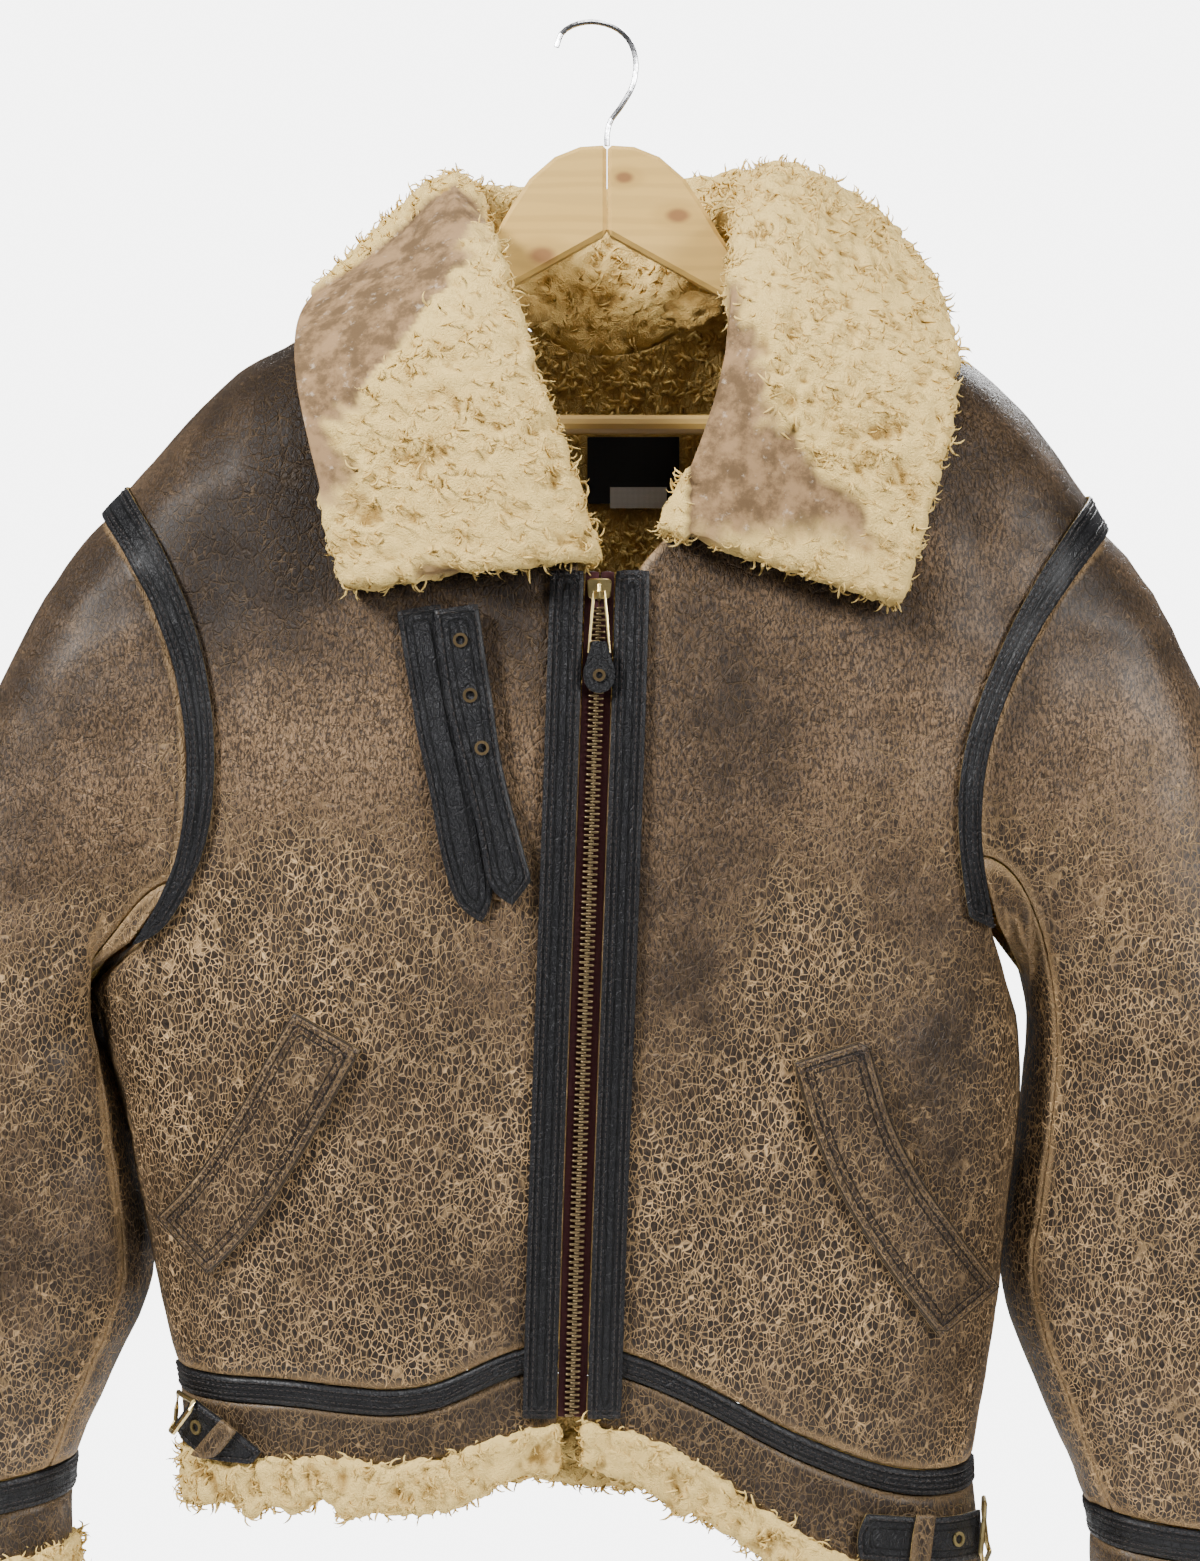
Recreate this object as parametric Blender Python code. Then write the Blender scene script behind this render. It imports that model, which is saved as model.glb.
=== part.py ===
"""Sheepskin flying jacket hanging on a wooden hanger.

Metres, +Z up.  The viewer stands at -Y, so the jacket's front faces -Y, and left and
right in every name are the viewer's.  The origin is the point inside the top of the
wire hook where a rail carries it.
"""
from math import cos, hypot, pi, radians, sin, sqrt

import bmesh
import bpy
import numpy as np
from mathutils import Matrix, Vector
from mathutils.bvhtree import BVHTree

# Gaps and walls
SEAM_GAP = 0.0003
LIFT = 0.0006
PANEL_LIFT = 0.0020
HIDE_WALL = 0.008
STRIP_THICK = 0.0020
WELT_THICK = 0.0040

# Hanger
HANGER_THICK = 0.0130
HANGER_BAR_RADIUS = 0.0060
HANGER_BAR_Z = -0.2360
HANGER_BAR_HALF = 0.1887
HOOK_WIRE_RADIUS = 0.0016

# Trim widths
ARMHOLE_STRIP_LIFT = 0.0021
ZIP_STRIP_WIDTH = 0.0195
WAIST_STRIP_WIDTH = 0.0145
ZIP_TOP_Z = -0.3290
ZIP_LINE_FOOT = -0.020
ZIP_END_MARGIN = 0.0040
ZIP_ROWS = 16
ZIP_TAPE_DEPTH = 0.0020
ZIP_CHAIN_DEPTH = 0.0016
ZIP_STRIP_LIFT = 0.0016
ZIP_GAP_HALF = 0.0085
ZIP_TAPE_THICK = 0.0012
ZIP_CHAIN_WIDTH = 0.0092
ZIP_CHAIN_THICK = 0.0026

# Shoulder
SHOULDER_ROUND = 0.0720
FRONT_SQUARENESS = 2.5
BACK_SQUARENESS = 2.3

# Shoulder seam, outer surface: distance from the neck outwards and height
SHOULDER_LEFT = ((-0.060, -0.1150), (-0.083, -0.1280), (-0.182, -0.1860), (-0.220, -0.2050),
                 (-0.238, -0.2210), (-0.277, -0.2690), (-0.2965, -0.2890))
SHOULDER_RIGHT = ((0.060, -0.1150), (0.083, -0.1280), (0.206, -0.1890), (0.220, -0.2050),
                  (0.251, -0.2330), (0.269, -0.2570), (0.295, -0.2980))

# Half section of the body by height: left edge, right edge, front and back depth at the middle
BODY_SECTIONS = (
    # z, left, right, front, back
    (-0.100, -0.3450, 0.3400, 0.060, 0.078),
    (-0.200, -0.3450, 0.3400, 0.080, 0.082),
    (-0.300, -0.3400, 0.3350, 0.093, 0.084),
    (-0.400, -0.3330, 0.3150, 0.098, 0.084),
    (-0.469, -0.3250, 0.2880, 0.098, 0.082),
    (-0.520, -0.3160, 0.2600, 0.096, 0.080),
    (-0.571, -0.3066, 0.2400, 0.094, 0.078),
    (-0.624, -0.2888, 0.2475, 0.091, 0.076),
    (-0.684, -0.2770, 0.2380, 0.087, 0.074),
    (-0.737, -0.2670, 0.2330, 0.083, 0.072),
    (-0.790, -0.2535, 0.2260, 0.077, 0.070),
    (-0.838, -0.2490, 0.2160, 0.073, 0.068),
    (-0.880, -0.2480, 0.2180, 0.073, 0.068),
    (-0.930, -0.2470, 0.2240, 0.075, 0.069),
    (-0.990, -0.2460, 0.2260, 0.076, 0.070),
)

# Soft folds on the front: from, to, half width, height (negative is a trough)
FRONT_FOLDS = (
    # x0, z0, x1, z1, width, height
    (-0.235, -0.560, -0.150, -0.480, 0.020, -0.0050),
    (-0.200, -0.600, -0.130, -0.640, 0.022, 0.0045),
    (-0.105, -0.420, -0.085, -0.620, 0.020, 0.0040),
    (-0.060, -0.380, -0.070, -0.560, 0.016, -0.0030),
    (0.060, -0.420, 0.075, -0.700, 0.024, -0.0035),
    (0.205, -0.540, 0.130, -0.490, 0.018, -0.0045),
    (0.165, -0.420, 0.150, -0.560, 0.022, 0.0040),
    (-0.140, -0.700, -0.060, -0.770, 0.022, 0.0040),
    (0.090, -0.740, 0.180, -0.790, 0.022, 0.0040),
)
BACK_FOLDS = (
    # x0, z0, x1, z1, width, height
    (-0.230, -0.540, -0.120, -0.430, 0.022, -0.0045),
    (0.200, -0.530, 0.110, -0.430, 0.022, -0.0045),
    (-0.040, -0.360, -0.055, -0.620, 0.026, 0.0040),
    (0.075, -0.400, 0.060, -0.690, 0.026, -0.0035),
    (-0.170, -0.640, -0.100, -0.760, 0.024, 0.0040),
    (0.170, -0.640, 0.110, -0.770, 0.024, 0.0040),
)

# Centre front line, bottom to top
ZIP_LINE = ((-0.0205, -0.8160), (-0.0170, -0.7000), (-0.0120, -0.5600), (-0.0070, -0.4200),
            (-0.0042, -0.3300))
# Seam between body and hem band, viewer's left to right, front and back
WAIST_FRONT = ((-0.2530, -0.7960), (-0.2180, -0.7975), (-0.1800, -0.7970), (-0.1430, -0.8010),
               (-0.1140, -0.8020), (-0.0920, -0.7970), (-0.0700, -0.7830), (-0.0450, -0.7730),
               (-0.0200, -0.7710), (0.0070, -0.7750), (0.0300, -0.7855), (0.0640, -0.8020),
               (0.0980, -0.8220), (0.1310, -0.8370), (0.1660, -0.8500), (0.2000, -0.8540),
               (0.2150, -0.8530))
WAIST_BACK = ((-0.2530, -0.7960), (-0.1500, -0.8000), (0.0000, -0.8060), (0.1200, -0.8300),
              (0.2150, -0.8530))
# Lower edge of the hide of the hem band
HEM_FRONT = ((-0.2490, -0.8380), (-0.2000, -0.8390), (-0.1610, -0.8340), (-0.1300, -0.8390),
             (-0.0880, -0.8320), (-0.0590, -0.8200), (-0.0200, -0.8130), (0.0100, -0.8120),
             (0.0270, -0.8240), (0.0530, -0.8380), (0.0770, -0.8540), (0.0940, -0.8690),
             (0.1150, -0.8830), (0.1500, -0.8980), (0.2000, -0.9220), (0.2240, -0.9270))
HEM_BACK = ((-0.2490, -0.8380), (-0.1500, -0.8450), (0.0000, -0.8500), (0.1200, -0.8850),
            (0.2240, -0.9270))
HEM_FUR_DROP = 0.0260
HEM_FUR_LUMPS = 0.0040


def smooth_curve(points, fraction):
    """Point at a fraction of the length of a smooth curve through the points."""
    pts = [np.array(p, dtype=float) for p in points]
    lengths = [0.0]
    for a, b in zip(pts, pts[1:]):
        lengths.append(lengths[-1] + float(np.linalg.norm(b - a)))
    goal = min(max(fraction, 0.0), 1.0) * lengths[-1]
    k = 0
    while k < len(pts) - 2 and goal > lengths[k + 1]:
        k += 1
    span = lengths[k + 1] - lengths[k]
    t = (goal - lengths[k]) / span
    tangents = []
    for i in (k, k + 1):
        lo = max(i - 1, 0)
        hi = min(i + 1, len(pts) - 1)
        tangents.append((pts[hi] - pts[lo]) / (lengths[hi] - lengths[lo]) * span)
    h1 = 2 * t ** 3 - 3 * t ** 2 + 1
    h2 = t ** 3 - 2 * t ** 2 + t
    h3 = -2 * t ** 3 + 3 * t ** 2
    h4 = t ** 3 - t ** 2
    return h1 * pts[k] + h2 * tangents[0] + h3 * pts[k + 1] + h4 * tangents[1]


def by_first(rows, key):
    """Columns of a table, smoothly between rows, at a value of its first column."""
    table = sorted(rows)
    keys = [row[0] for row in table]
    key = min(max(key, keys[0]), keys[-1])
    k = 0
    while k < len(keys) - 2 and key > keys[k + 1]:
        k += 1
    span = keys[k + 1] - keys[k]
    t = (key - keys[k]) / span
    out = []
    for column in range(1, len(table[0])):
        slopes = []
        for i in (k, k + 1):
            lo = max(i - 1, 0)
            hi = min(i + 1, len(keys) - 1)
            slopes.append((table[hi][column] - table[lo][column]) / (keys[hi] - keys[lo]) * span)
        a = table[k][column]
        b = table[k + 1][column]
        out.append((2 * t ** 3 - 3 * t ** 2 + 1) * a + (t ** 3 - 2 * t ** 2 + t) * slopes[0]
                   + (3 * t ** 2 - 2 * t ** 3) * b + (t ** 3 - t ** 2) * slopes[1])
    return out


def shoulder_height(x):
    """Height of the outer surface along the shoulder seam."""
    rows = SHOULDER_LEFT if x < 0 else SHOULDER_RIGHT
    return by_first(rows, x)[0]


def fold_height(x, z, folds):
    """Sum of the soft ridges and troughs at a point of the front or back."""
    total = 0.0
    for x0, z0, x1, z1, width, height in folds:
        run_x = x1 - x0
        run_z = z1 - z0
        length = hypot(run_x, run_z)
        along = ((x - x0) * run_x + (z - z0) * run_z) / length ** 2
        across = abs((x - x0) * run_z - (z - z0) * run_x) / length
        ends = max(0.0, 1.0 - (2.0 * along - 1.0) ** 4) if 0.0 < along < 1.0 else 0.0
        if across < 2.0 * width and ends > 0.0:
            total += height * ends * (0.5 + 0.5 * cos(pi * across / (2.0 * width))) ** 2
    return total


def body_depth(x, z, front):
    """Distance of the outer surface from the hanger's plane."""
    left, right, front_depth, back_depth = by_first(BODY_SECTIONS, z)
    depth = front_depth if front else back_depth
    power = FRONT_SQUARENESS if front else BACK_SQUARENESS
    centre = 0.5 * (left + right)
    half = right - centre if x > centre else centre - left
    across = min(abs(x - centre) / half, 1.0)
    profile = (1.0 - across ** power) ** (1.0 / power)
    rise = (z - (shoulder_height(x) - SHOULDER_ROUND)) / SHOULDER_ROUND
    rounding = sqrt(max(0.0, 1.0 - min(max(rise, 0.0), 1.0) ** 2))
    fold = fold_height(x, z, FRONT_FOLDS if front else BACK_FOLDS)
    return (depth + fold) * profile * rounding


def body_point(x, z, front):
    depth = max(body_depth(x, z, front), 0.5 * SEAM_GAP)
    return Vector((x, -depth if front else depth, z))


def body_normal(x, z, front, step=0.0015):
    """Outward normal of the smooth body at a point of its front or back."""
    left, right = by_first(BODY_SECTIONS, z)[:2]
    x_in = min(max(x, left + 2 * step), right - 2 * step)
    z_in = min(z, shoulder_height(x_in) - step)

    def half_square(px, pz):
        return 0.5 * body_depth(px, pz, front) ** 2

    slope_x = (half_square(x_in + step, z_in) - half_square(x_in - step, z_in)) / (2 * step)
    slope_z = (half_square(x_in, z_in + step) - half_square(x_in, z_in - step)) / (2 * step)
    depth = body_depth(x_in, z_in, front)
    return Vector((-slope_x, -depth if front else depth, -slope_z)).normalized()


# Neck opening: from the centre front up to the side neck, and from there to the back
NECK_FRONT_LEFT = ((-0.0127, -0.3300), (-0.0300, -0.2780), (-0.0500, -0.2280), (-0.0680, -0.1750),
                   (-0.0830, -0.1280))
NECK_FRONT_RIGHT = ((0.0043, -0.3300), (0.0290, -0.3240), (0.0450, -0.3020), (0.0620, -0.2620),
                    (0.0750, -0.2150), (0.0790, -0.1750), (0.0830, -0.1280))
NECK_BACK = ((-0.0830, -0.1280), (-0.0600, -0.1620), (-0.0300, -0.1830), (0.0000, -0.1890),
             (0.0300, -0.1830), (0.0600, -0.1620), (0.0830, -0.1280))
# Armhole seam from the armpit up to the shoulder point, as seen from the front
ARMHOLE_LEFT = ((-0.3066, -0.5710), (-0.2870, -0.5560), (-0.2634, -0.5340), (-0.2440, -0.5000),
                (-0.2370, -0.4580), (-0.2385, -0.4100), (-0.2500, -0.3650), (-0.2740, -0.3170),
                (-0.2965, -0.2890))
ARMHOLE_RIGHT = ((0.2400, -0.5710), (0.2290, -0.5500), (0.2170, -0.5200), (0.2096, -0.4690),
                 (0.2153, -0.4237), (0.2409, -0.3667), (0.2700, -0.3240), (0.2950, -0.2980))

# Sleeve sections below the armpit: height, outer edge, inner edge, middle and half of the depth
SLEEVE_LEFT = (
    # z, outer, inner, middle y, half depth, slope
    (-0.600, -0.4080, -0.2880, 0.0180, 0.0780, 0.00),
    (-0.636, -0.4134, -0.2830, 0.0190, 0.0770, 0.03),
    (-0.690, -0.4200, -0.2750, 0.0200, 0.0730, 0.07),
    (-0.749, -0.4264, -0.2690, 0.0200, 0.0670, 0.11),
    (-0.800, -0.4310, -0.2920, 0.0170, 0.0590, 0.14),
    (-0.858, -0.4355, -0.3180, 0.0140, 0.0500, 0.16),
    (-0.912, -0.4370, -0.3200, 0.0120, 0.0460, 0.16),
    (-0.932, -0.4380, -0.3180, 0.0120, 0.0480, 0.16),
)
SLEEVE_RIGHT = (
    (-0.600, 0.3960, 0.2500, 0.0180, 0.0780, 0.00),
    (-0.636, 0.4020, 0.2480, 0.0190, 0.0770, -0.02),
    (-0.690, 0.4060, 0.2400, 0.0200, 0.0730, -0.05),
    (-0.749, 0.4080, 0.2330, 0.0200, 0.0670, -0.08),
    (-0.814, 0.4050, 0.2570, 0.0170, 0.0590, -0.10),
    (-0.882, 0.4020, 0.2860, 0.0140, 0.0500, -0.12),
    (-0.932, 0.4000, 0.2900, 0.0120, 0.0460, -0.12),
    (-0.952, 0.4010, 0.2880, 0.0120, 0.0480, -0.12),
)
CUFF_BAND_LENGTH = 0.0190
CUFF_PANEL_LENGTH = 0.0300
SLEEVE_WALL = 0.0060
BELOW_ARMHOLE = -0.5480
SLEEVE_SPLIT_FRONT = 8
SLEEVE_SPLIT_BACK = 18

# Collar sections round the neck, from the left front end to the right one
COLLAR_THICK = 0.0130
COLLAR_SECTIONS = (
    # seam x, y, z, fold x, y, z, free edge x, y, z
    (-0.0112, -0.0900, -0.3235, -0.0160, -0.1040, -0.3220, -0.1450, -0.0980, -0.3390),
    (-0.0290, -0.0880, -0.2760, -0.0330, -0.1020, -0.2700, -0.1630, -0.0850, -0.2770),
    (-0.0485, -0.0830, -0.2250, -0.0510, -0.0940, -0.2170, -0.1740, -0.0600, -0.2280),
    (-0.0660, -0.0550, -0.1720, -0.0700, -0.0620, -0.1560, -0.1750, -0.0200, -0.1780),
    (-0.0812, 0.0000, -0.1210, -0.0890, 0.0020, -0.1010, -0.1580, 0.0130, -0.1580),
    (-0.0760, 0.0420, -0.1330, -0.0860, 0.0470, -0.0980, -0.1250, 0.0520, -0.1200),
    (-0.0460, 0.0740, -0.1680, -0.0510, 0.0850, -0.1200, -0.0690, 0.0900, -0.0960),
    (0.0000, 0.0820, -0.1868, 0.0000, 0.0930, -0.1300, 0.0000, 0.0960, -0.0860),
    (0.0460, 0.0740, -0.1680, 0.0500, 0.0850, -0.1150, 0.0640, 0.0900, -0.0800),
    (0.0760, 0.0420, -0.1330, 0.0860, 0.0520, -0.0900, 0.1150, 0.0620, -0.0900),
    (0.0812, 0.0000, -0.1210, 0.0930, 0.0080, -0.0960, 0.1600, 0.0250, -0.1200),
    (0.0745, -0.0550, -0.1760, 0.0830, -0.0640, -0.1580, 0.1900, -0.0150, -0.1740),
    (0.0685, -0.0800, -0.2250, 0.0735, -0.0930, -0.2180, 0.1930, -0.0600, -0.2350),
    (0.0550, -0.0870, -0.2680, 0.0595, -0.1010, -0.2640, 0.1780, -0.0850, -0.2920),
    (0.0350, -0.0900, -0.3080, 0.0400, -0.1040, -0.3090, 0.1620, -0.0980, -0.3480),
)
COLLAR_CLEARANCE = 0.0054

# Pocket welts, collar straps and side straps: middle line, upper end first
POCKET_LEFT = ((-0.1570, -0.5870), (-0.1866, -0.6403), (-0.2180, -0.6890), (-0.2420, -0.7140))
POCKET_RIGHT = ((0.1250, -0.5990), (0.1410, -0.6517), (0.1645, -0.6945), (0.2065, -0.7535))
POCKET_WIDTH = 0.0440
COLLAR_STRAP_FRONT = ((-0.0845, -0.3500), (-0.0742, -0.4185), (-0.0546, -0.5050))
COLLAR_STRAP_BACK = ((-0.1055, -0.3500), (-0.0890, -0.4465), (-0.0742, -0.5150))
COLLAR_STRAP_WIDTH = 0.0250
COLLAR_STRAP_THICK = 0.0024
STRAP_POINT = 0.0120
SIDE_STRAP_LEFT = ((-0.2430, -0.8160), (-0.2280, -0.8250), (-0.2050, -0.8420))
SIDE_STRAP_RIGHT = ((0.2140, -0.8870), (0.1850, -0.8850), (0.1450, -0.8790))
SIDE_STRAP_WIDTH = 0.0260
SIDE_STRAP_THICK = 0.0030

# Slider and its pull
SLIDER_Z = -0.3440
SLIDER_WIDTH = 0.0140
PULL_HINGE_Z = SLIDER_Z + 0.0030
PULL_FRAME_LENGTH = 0.0340
PULL_TAB_WIDTH = 0.0175

# Ring radius, wire radius and thickness of the eyelets.
COLLAR_EYELET = (0.0042, 0.0026, 0.0009)
COLLAR_EYELET_SHARES = (0.12, 0.315, 0.5025)
SIDE_EYELET = (0.0044, 0.0026, 0.0010)
SIDE_EYELET_SHARE = 0.22
EYELET_LIFT = 0.0013
SIDE_STRAP_LIFT = 0.0030
SIDE_STRAP_POINT = 0.0040
KEEPER_SHARE = 0.52
KEEPER_LENGTH = 0.0300
KEEPER_WIDTH = 0.0110
KEEPER_THICK = 0.0022
KEEPER_LIFT = 0.0010
BUCKLE_CORNERS = ((-1, -0.6), (-0.6, -1), (0.6, -1), (1, -0.6), (1, 0.6), (0.6, 1), (-0.6, 1),
                  (-1, 0.6))
BUCKLE_HALF_LENGTH = 0.0080
BUCKLE_HALF_WIDTH = 0.0165
BUCKLE_SETBACK = 0.0040
BUCKLE_LIFT = 0.0078
BUCKLE_TILT = 0.0028
BUCKLE_WIRE = 0.0015

# Left x, right x, top z and low z on the inside of the back.
LABEL_PLACE = (-0.0120, 0.0446, -0.2350, -0.2760)
TAG_PLACE = (0.0020, 0.0370, -0.2660, -0.2790)

COLOURS = {
    # name: colour, roughness, metallic
    "brown_hide": ((0.230, 0.130, 0.065), 0.50, 0.0),
    "dark_hide": ((0.120, 0.062, 0.032), 0.55, 0.0),
    "black_leather": ((0.022, 0.020, 0.020), 0.55, 0.0),
    "cream_fur": ((0.720, 0.560, 0.310), 0.95, 0.0),
    "burgundy_tape": ((0.110, 0.030, 0.032), 0.80, 0.0),
    "aged_brass": ((0.330, 0.230, 0.110), 0.40, 1.0),
    "gold_brass": ((0.560, 0.440, 0.170), 0.35, 1.0),
    "pale_wood": ((0.700, 0.490, 0.260), 0.45, 0.0),
    "chrome_wire": ((0.620, 0.620, 0.620), 0.15, 1.0),
    "black_cloth": ((0.012, 0.012, 0.014), 0.85, 0.0),
    "white_cloth": ((0.620, 0.600, 0.540), 0.85, 0.0),
}


def material(name):
    """The named finish, made on first use."""
    found = bpy.data.materials.get(name)
    if found:
        return found
    colour, roughness, metallic = COLOURS[name]
    made = bpy.data.materials.new(name)
    made.use_nodes = True
    shader = made.node_tree.nodes["Principled BSDF"]
    shader.inputs["Base Color"].default_value = (*colour, 1.0)
    shader.inputs["Roughness"].default_value = roughness
    shader.inputs["Metallic"].default_value = metallic
    return made


def add_object(name, verts, faces, finish):
    mesh = bpy.data.meshes.new(name)
    mesh.from_pydata([tuple(v) for v in verts], [], faces)
    shape = bmesh.new()
    shape.from_mesh(mesh)
    bmesh.ops.recalc_face_normals(shape, faces=shape.faces)
    shape.to_mesh(mesh)
    shape.free()
    mesh.materials.append(material(finish))
    mesh.shade_smooth()
    mesh.set_sharp_from_angle(angle=radians(40))
    obj = bpy.data.objects.new(name, mesh)
    bpy.context.scene.collection.objects.link(obj)
    return obj


def add_wall(name, outer, inner, finish, ring=False):
    """Closed solid between two grids of points; rows run along the first index.

    With ring the second index closes on itself.
    """
    rows = len(outer)
    columns = len(outer[0])
    verts = [p for row in outer for p in row] + [p for row in inner for p in row]
    back = rows * columns

    def index(i, j):
        return i * columns + j % columns

    faces = []
    spans = columns if ring else columns - 1
    for i in range(rows - 1):
        for j in range(spans):
            quad = (index(i, j), index(i + 1, j), index(i + 1, j + 1), index(i, j + 1))
            faces.append(quad)
            faces.append(tuple(back + q for q in reversed(quad)))
    for j in range(spans):
        faces.append((index(0, j), index(0, j + 1), back + index(0, j + 1), back + index(0, j)))
        last = rows - 1
        faces.append((index(last, j + 1), index(last, j), back + index(last, j),
                      back + index(last, j + 1)))
    if not ring:
        for i in range(rows - 1):
            faces.append((index(i + 1, 0), index(i, 0), back + index(i, 0), back + index(i + 1, 0)))
            end = columns - 1
            faces.append((index(i, end), index(i + 1, end), back + index(i + 1, end),
                          back + index(i, end)))
    return add_object(name, verts, faces, finish)


def line_height(points, x):
    """Height at x of a line given left to right."""
    return by_first(points, x)[0]


# Shares of a panel's height at which its armpit and its front neck point lie
ARMPIT_SHARE = 0.40
NECK_SHARE = 0.64


def side_edge(left, waist):
    """Outer edge of a panel: the side seam up to the armpit, then the armhole seam."""
    armhole = ARMHOLE_LEFT if left else ARMHOLE_RIGHT
    start = hem_place(waist, None, body_edge(left), 1.0)[1]

    def at(v):
        if v >= ARMPIT_SHARE:
            return smooth_curve(armhole, (v - ARMPIT_SHARE) / (1.0 - ARMPIT_SHARE))
        z = start + (armhole[0][1] - start) * v / ARMPIT_SHARE
        return np.array((body_edge(left)(z), z))
    return at


def centre_front_edge(side, waist, neck):
    """Inner edge of a front: the zip line up to the neck point, then the neck seam."""
    start = hem_place(waist, centre_edge(side), None, 0.0)[1]

    def at(v):
        if v >= NECK_SHARE:
            return smooth_curve(neck, (v - NECK_SHARE) / (1.0 - NECK_SHARE))
        z = start + (neck[0][1] - start) * v / NECK_SHARE
        return np.array((centre_edge(side)(z), z))
    return at


def hem_place(line, start, end, share):
    """Place on a line across the body, at a share of the way between two edges."""
    z = line(0.0)
    x = 0.0
    for _ in range(8):
        x = 0.0
        if share < 1.0:
            x += (1.0 - share) * start(z)
        if share > 0.0:
            x += share * end(z)
        z = line(x)
    return np.array((x, z))


def coons(bottom, top, start, end, s, v):
    """Point of the patch between four edges; each edge is a function of 0 to 1."""
    flat = (1 - v) * bottom(s) + v * top(s) + (1 - s) * start(v) + s * end(v)
    corners = ((1 - s) * (1 - v) * bottom(0) + s * (1 - v) * bottom(1)
               + (1 - s) * v * top(0) + s * v * top(1))
    return flat - corners


def curve_of(points):
    def at(t):
        return smooth_curve(points, t)
    return at


def shell(name, places, front, finish, wall=HIDE_WALL):
    """A panel of the body: grid of (x, z) places, its outer face and a wall inwards."""
    outer = [[body_point(x, z, front) for x, z in row] for row in places]
    inner = []
    for row, outer_row in zip(places, outer):
        line = []
        for (x, z), point in zip(row, outer_row):
            moved = point - body_normal(x, z, front) * wall
            limit = 0.5 * SEAM_GAP
            moved.y = min(moved.y, -limit) if front else max(moved.y, limit)
            line.append(moved)
        inner.append(line)
    return add_wall(name, outer, inner, finish)


def spread(count, power):
    """Values from 0 to 1, closer together near 1."""
    return [1.0 - (1.0 - k / count) ** power for k in range(count + 1)]


def both_ends(count):
    """Even values from 0 to 1, with two narrow cells for the armhole strip at each end."""
    narrow = (0.0, 0.012, 0.035)
    middle = [0.035 + 0.93 * k / count for k in range(1, count)]
    return list(narrow) + middle + [1.0 - v for v in reversed(narrow)]


def zip_x(z):
    return by_first([(b, a) for a, b in ZIP_LINE], z)[0]


FRONT_SHARES = spread(10, 1.55)
BACK_SHARES = both_ends(15)
ARMHOLE_STEPS = 10


def panel_heights():
    """Shares of a panel's height for its rows, with one at the armpit and at the neck."""
    lower = [ARMPIT_SHARE * k / 6 for k in range(6)]
    return lower + [ARMPIT_SHARE + (1.0 - ARMPIT_SHARE) * k for k in spread(ARMHOLE_STEPS, 1.5)]


def waist_line(points, offset):
    def at(x):
        return line_height(points, x) + offset
    return at


def front_panel(name, left):
    """One front, from the hem band's seam to the shoulder, with its neck and armhole edges."""
    side = -1.0 if left else 1.0
    neck = NECK_FRONT_LEFT if left else NECK_FRONT_RIGHT
    shoulder = SHOULDER_LEFT[1:] if left else SHOULDER_RIGHT[1:]
    waist = waist_line(WAIST_FRONT, 0.5 * WAIST_STRIP_WIDTH)

    def bottom(s):
        return hem_place(waist, centre_edge(side), body_edge(left), s)

    patch = (bottom, curve_of(shoulder), centre_front_edge(side, waist, neck),
             side_edge(left, waist))
    places = [[coons(*patch, s, v) for s in FRONT_SHARES] for v in panel_heights()]
    return shell(name, places, True, "brown_hide"), places


def back_panel():
    """The whole back in one piece, from the hem band's seam to both shoulders and the neck."""
    waist = waist_line(WAIST_BACK, 0.5 * WAIST_STRIP_WIDTH)
    top = list(reversed(SHOULDER_LEFT[1:])) + list(NECK_BACK[1:-1]) + list(SHOULDER_RIGHT[1:])

    def bottom(s):
        return hem_place(waist, body_edge(True), body_edge(False), s)

    patch = (bottom, curve_of(top), side_edge(True, waist), side_edge(False, waist))
    places = [[coons(*patch, s, v) for s in BACK_SHARES] for v in panel_heights()]
    return shell("back", places, False, "brown_hide"), places


def centre_edge(side):
    def at(z):
        return zip_x(z) + side * ZIP_GAP_HALF
    return at


def body_edge(left):
    def at(z):
        sections = by_first(BODY_SECTIONS, z)
        return sections[0] if left else sections[1]
    return at


def band_places(upper, lower, start, end, shares, rows):
    """Grid of (x, z) places between two lines, from one edge of the body to another."""
    places = []
    for i in range(rows + 1):
        def between(x, share=i / rows):
            return upper(x) + (lower(x) - upper(x)) * share
        places.append([tuple(float(c) for c in hem_place(between, start, end, s))
                       for s in shares])
    return places


def band_solid(name, places, front, finish, raised, thick):
    """A solid on the body's surface: outer face raised above it, wall going inwards."""
    limit = 0.5 * SEAM_GAP
    grids = []
    for offset in (raised, raised - thick):
        grid = []
        for row in places:
            line = []
            for x, z in row:
                point = body_point(x, z, front) + body_normal(x, z, front) * offset
                point.y = min(point.y, -limit) if front else max(point.y, limit)
                line.append(point)
            grid.append(line)
        grids.append(grid)
    outer, inner = grids
    return add_wall(name, outer, inner, finish)


def fur_edge(points):
    """Lower edge of the fur below a line: it hangs down in soft lumps."""
    def at(x):
        lumps = sin(2 * pi * x / 0.031) + 0.6 * sin(2 * pi * x / 0.019 + 1.0)
        return line_height(points, x) - HEM_FUR_DROP - HEM_FUR_LUMPS * lumps
    return at


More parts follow.
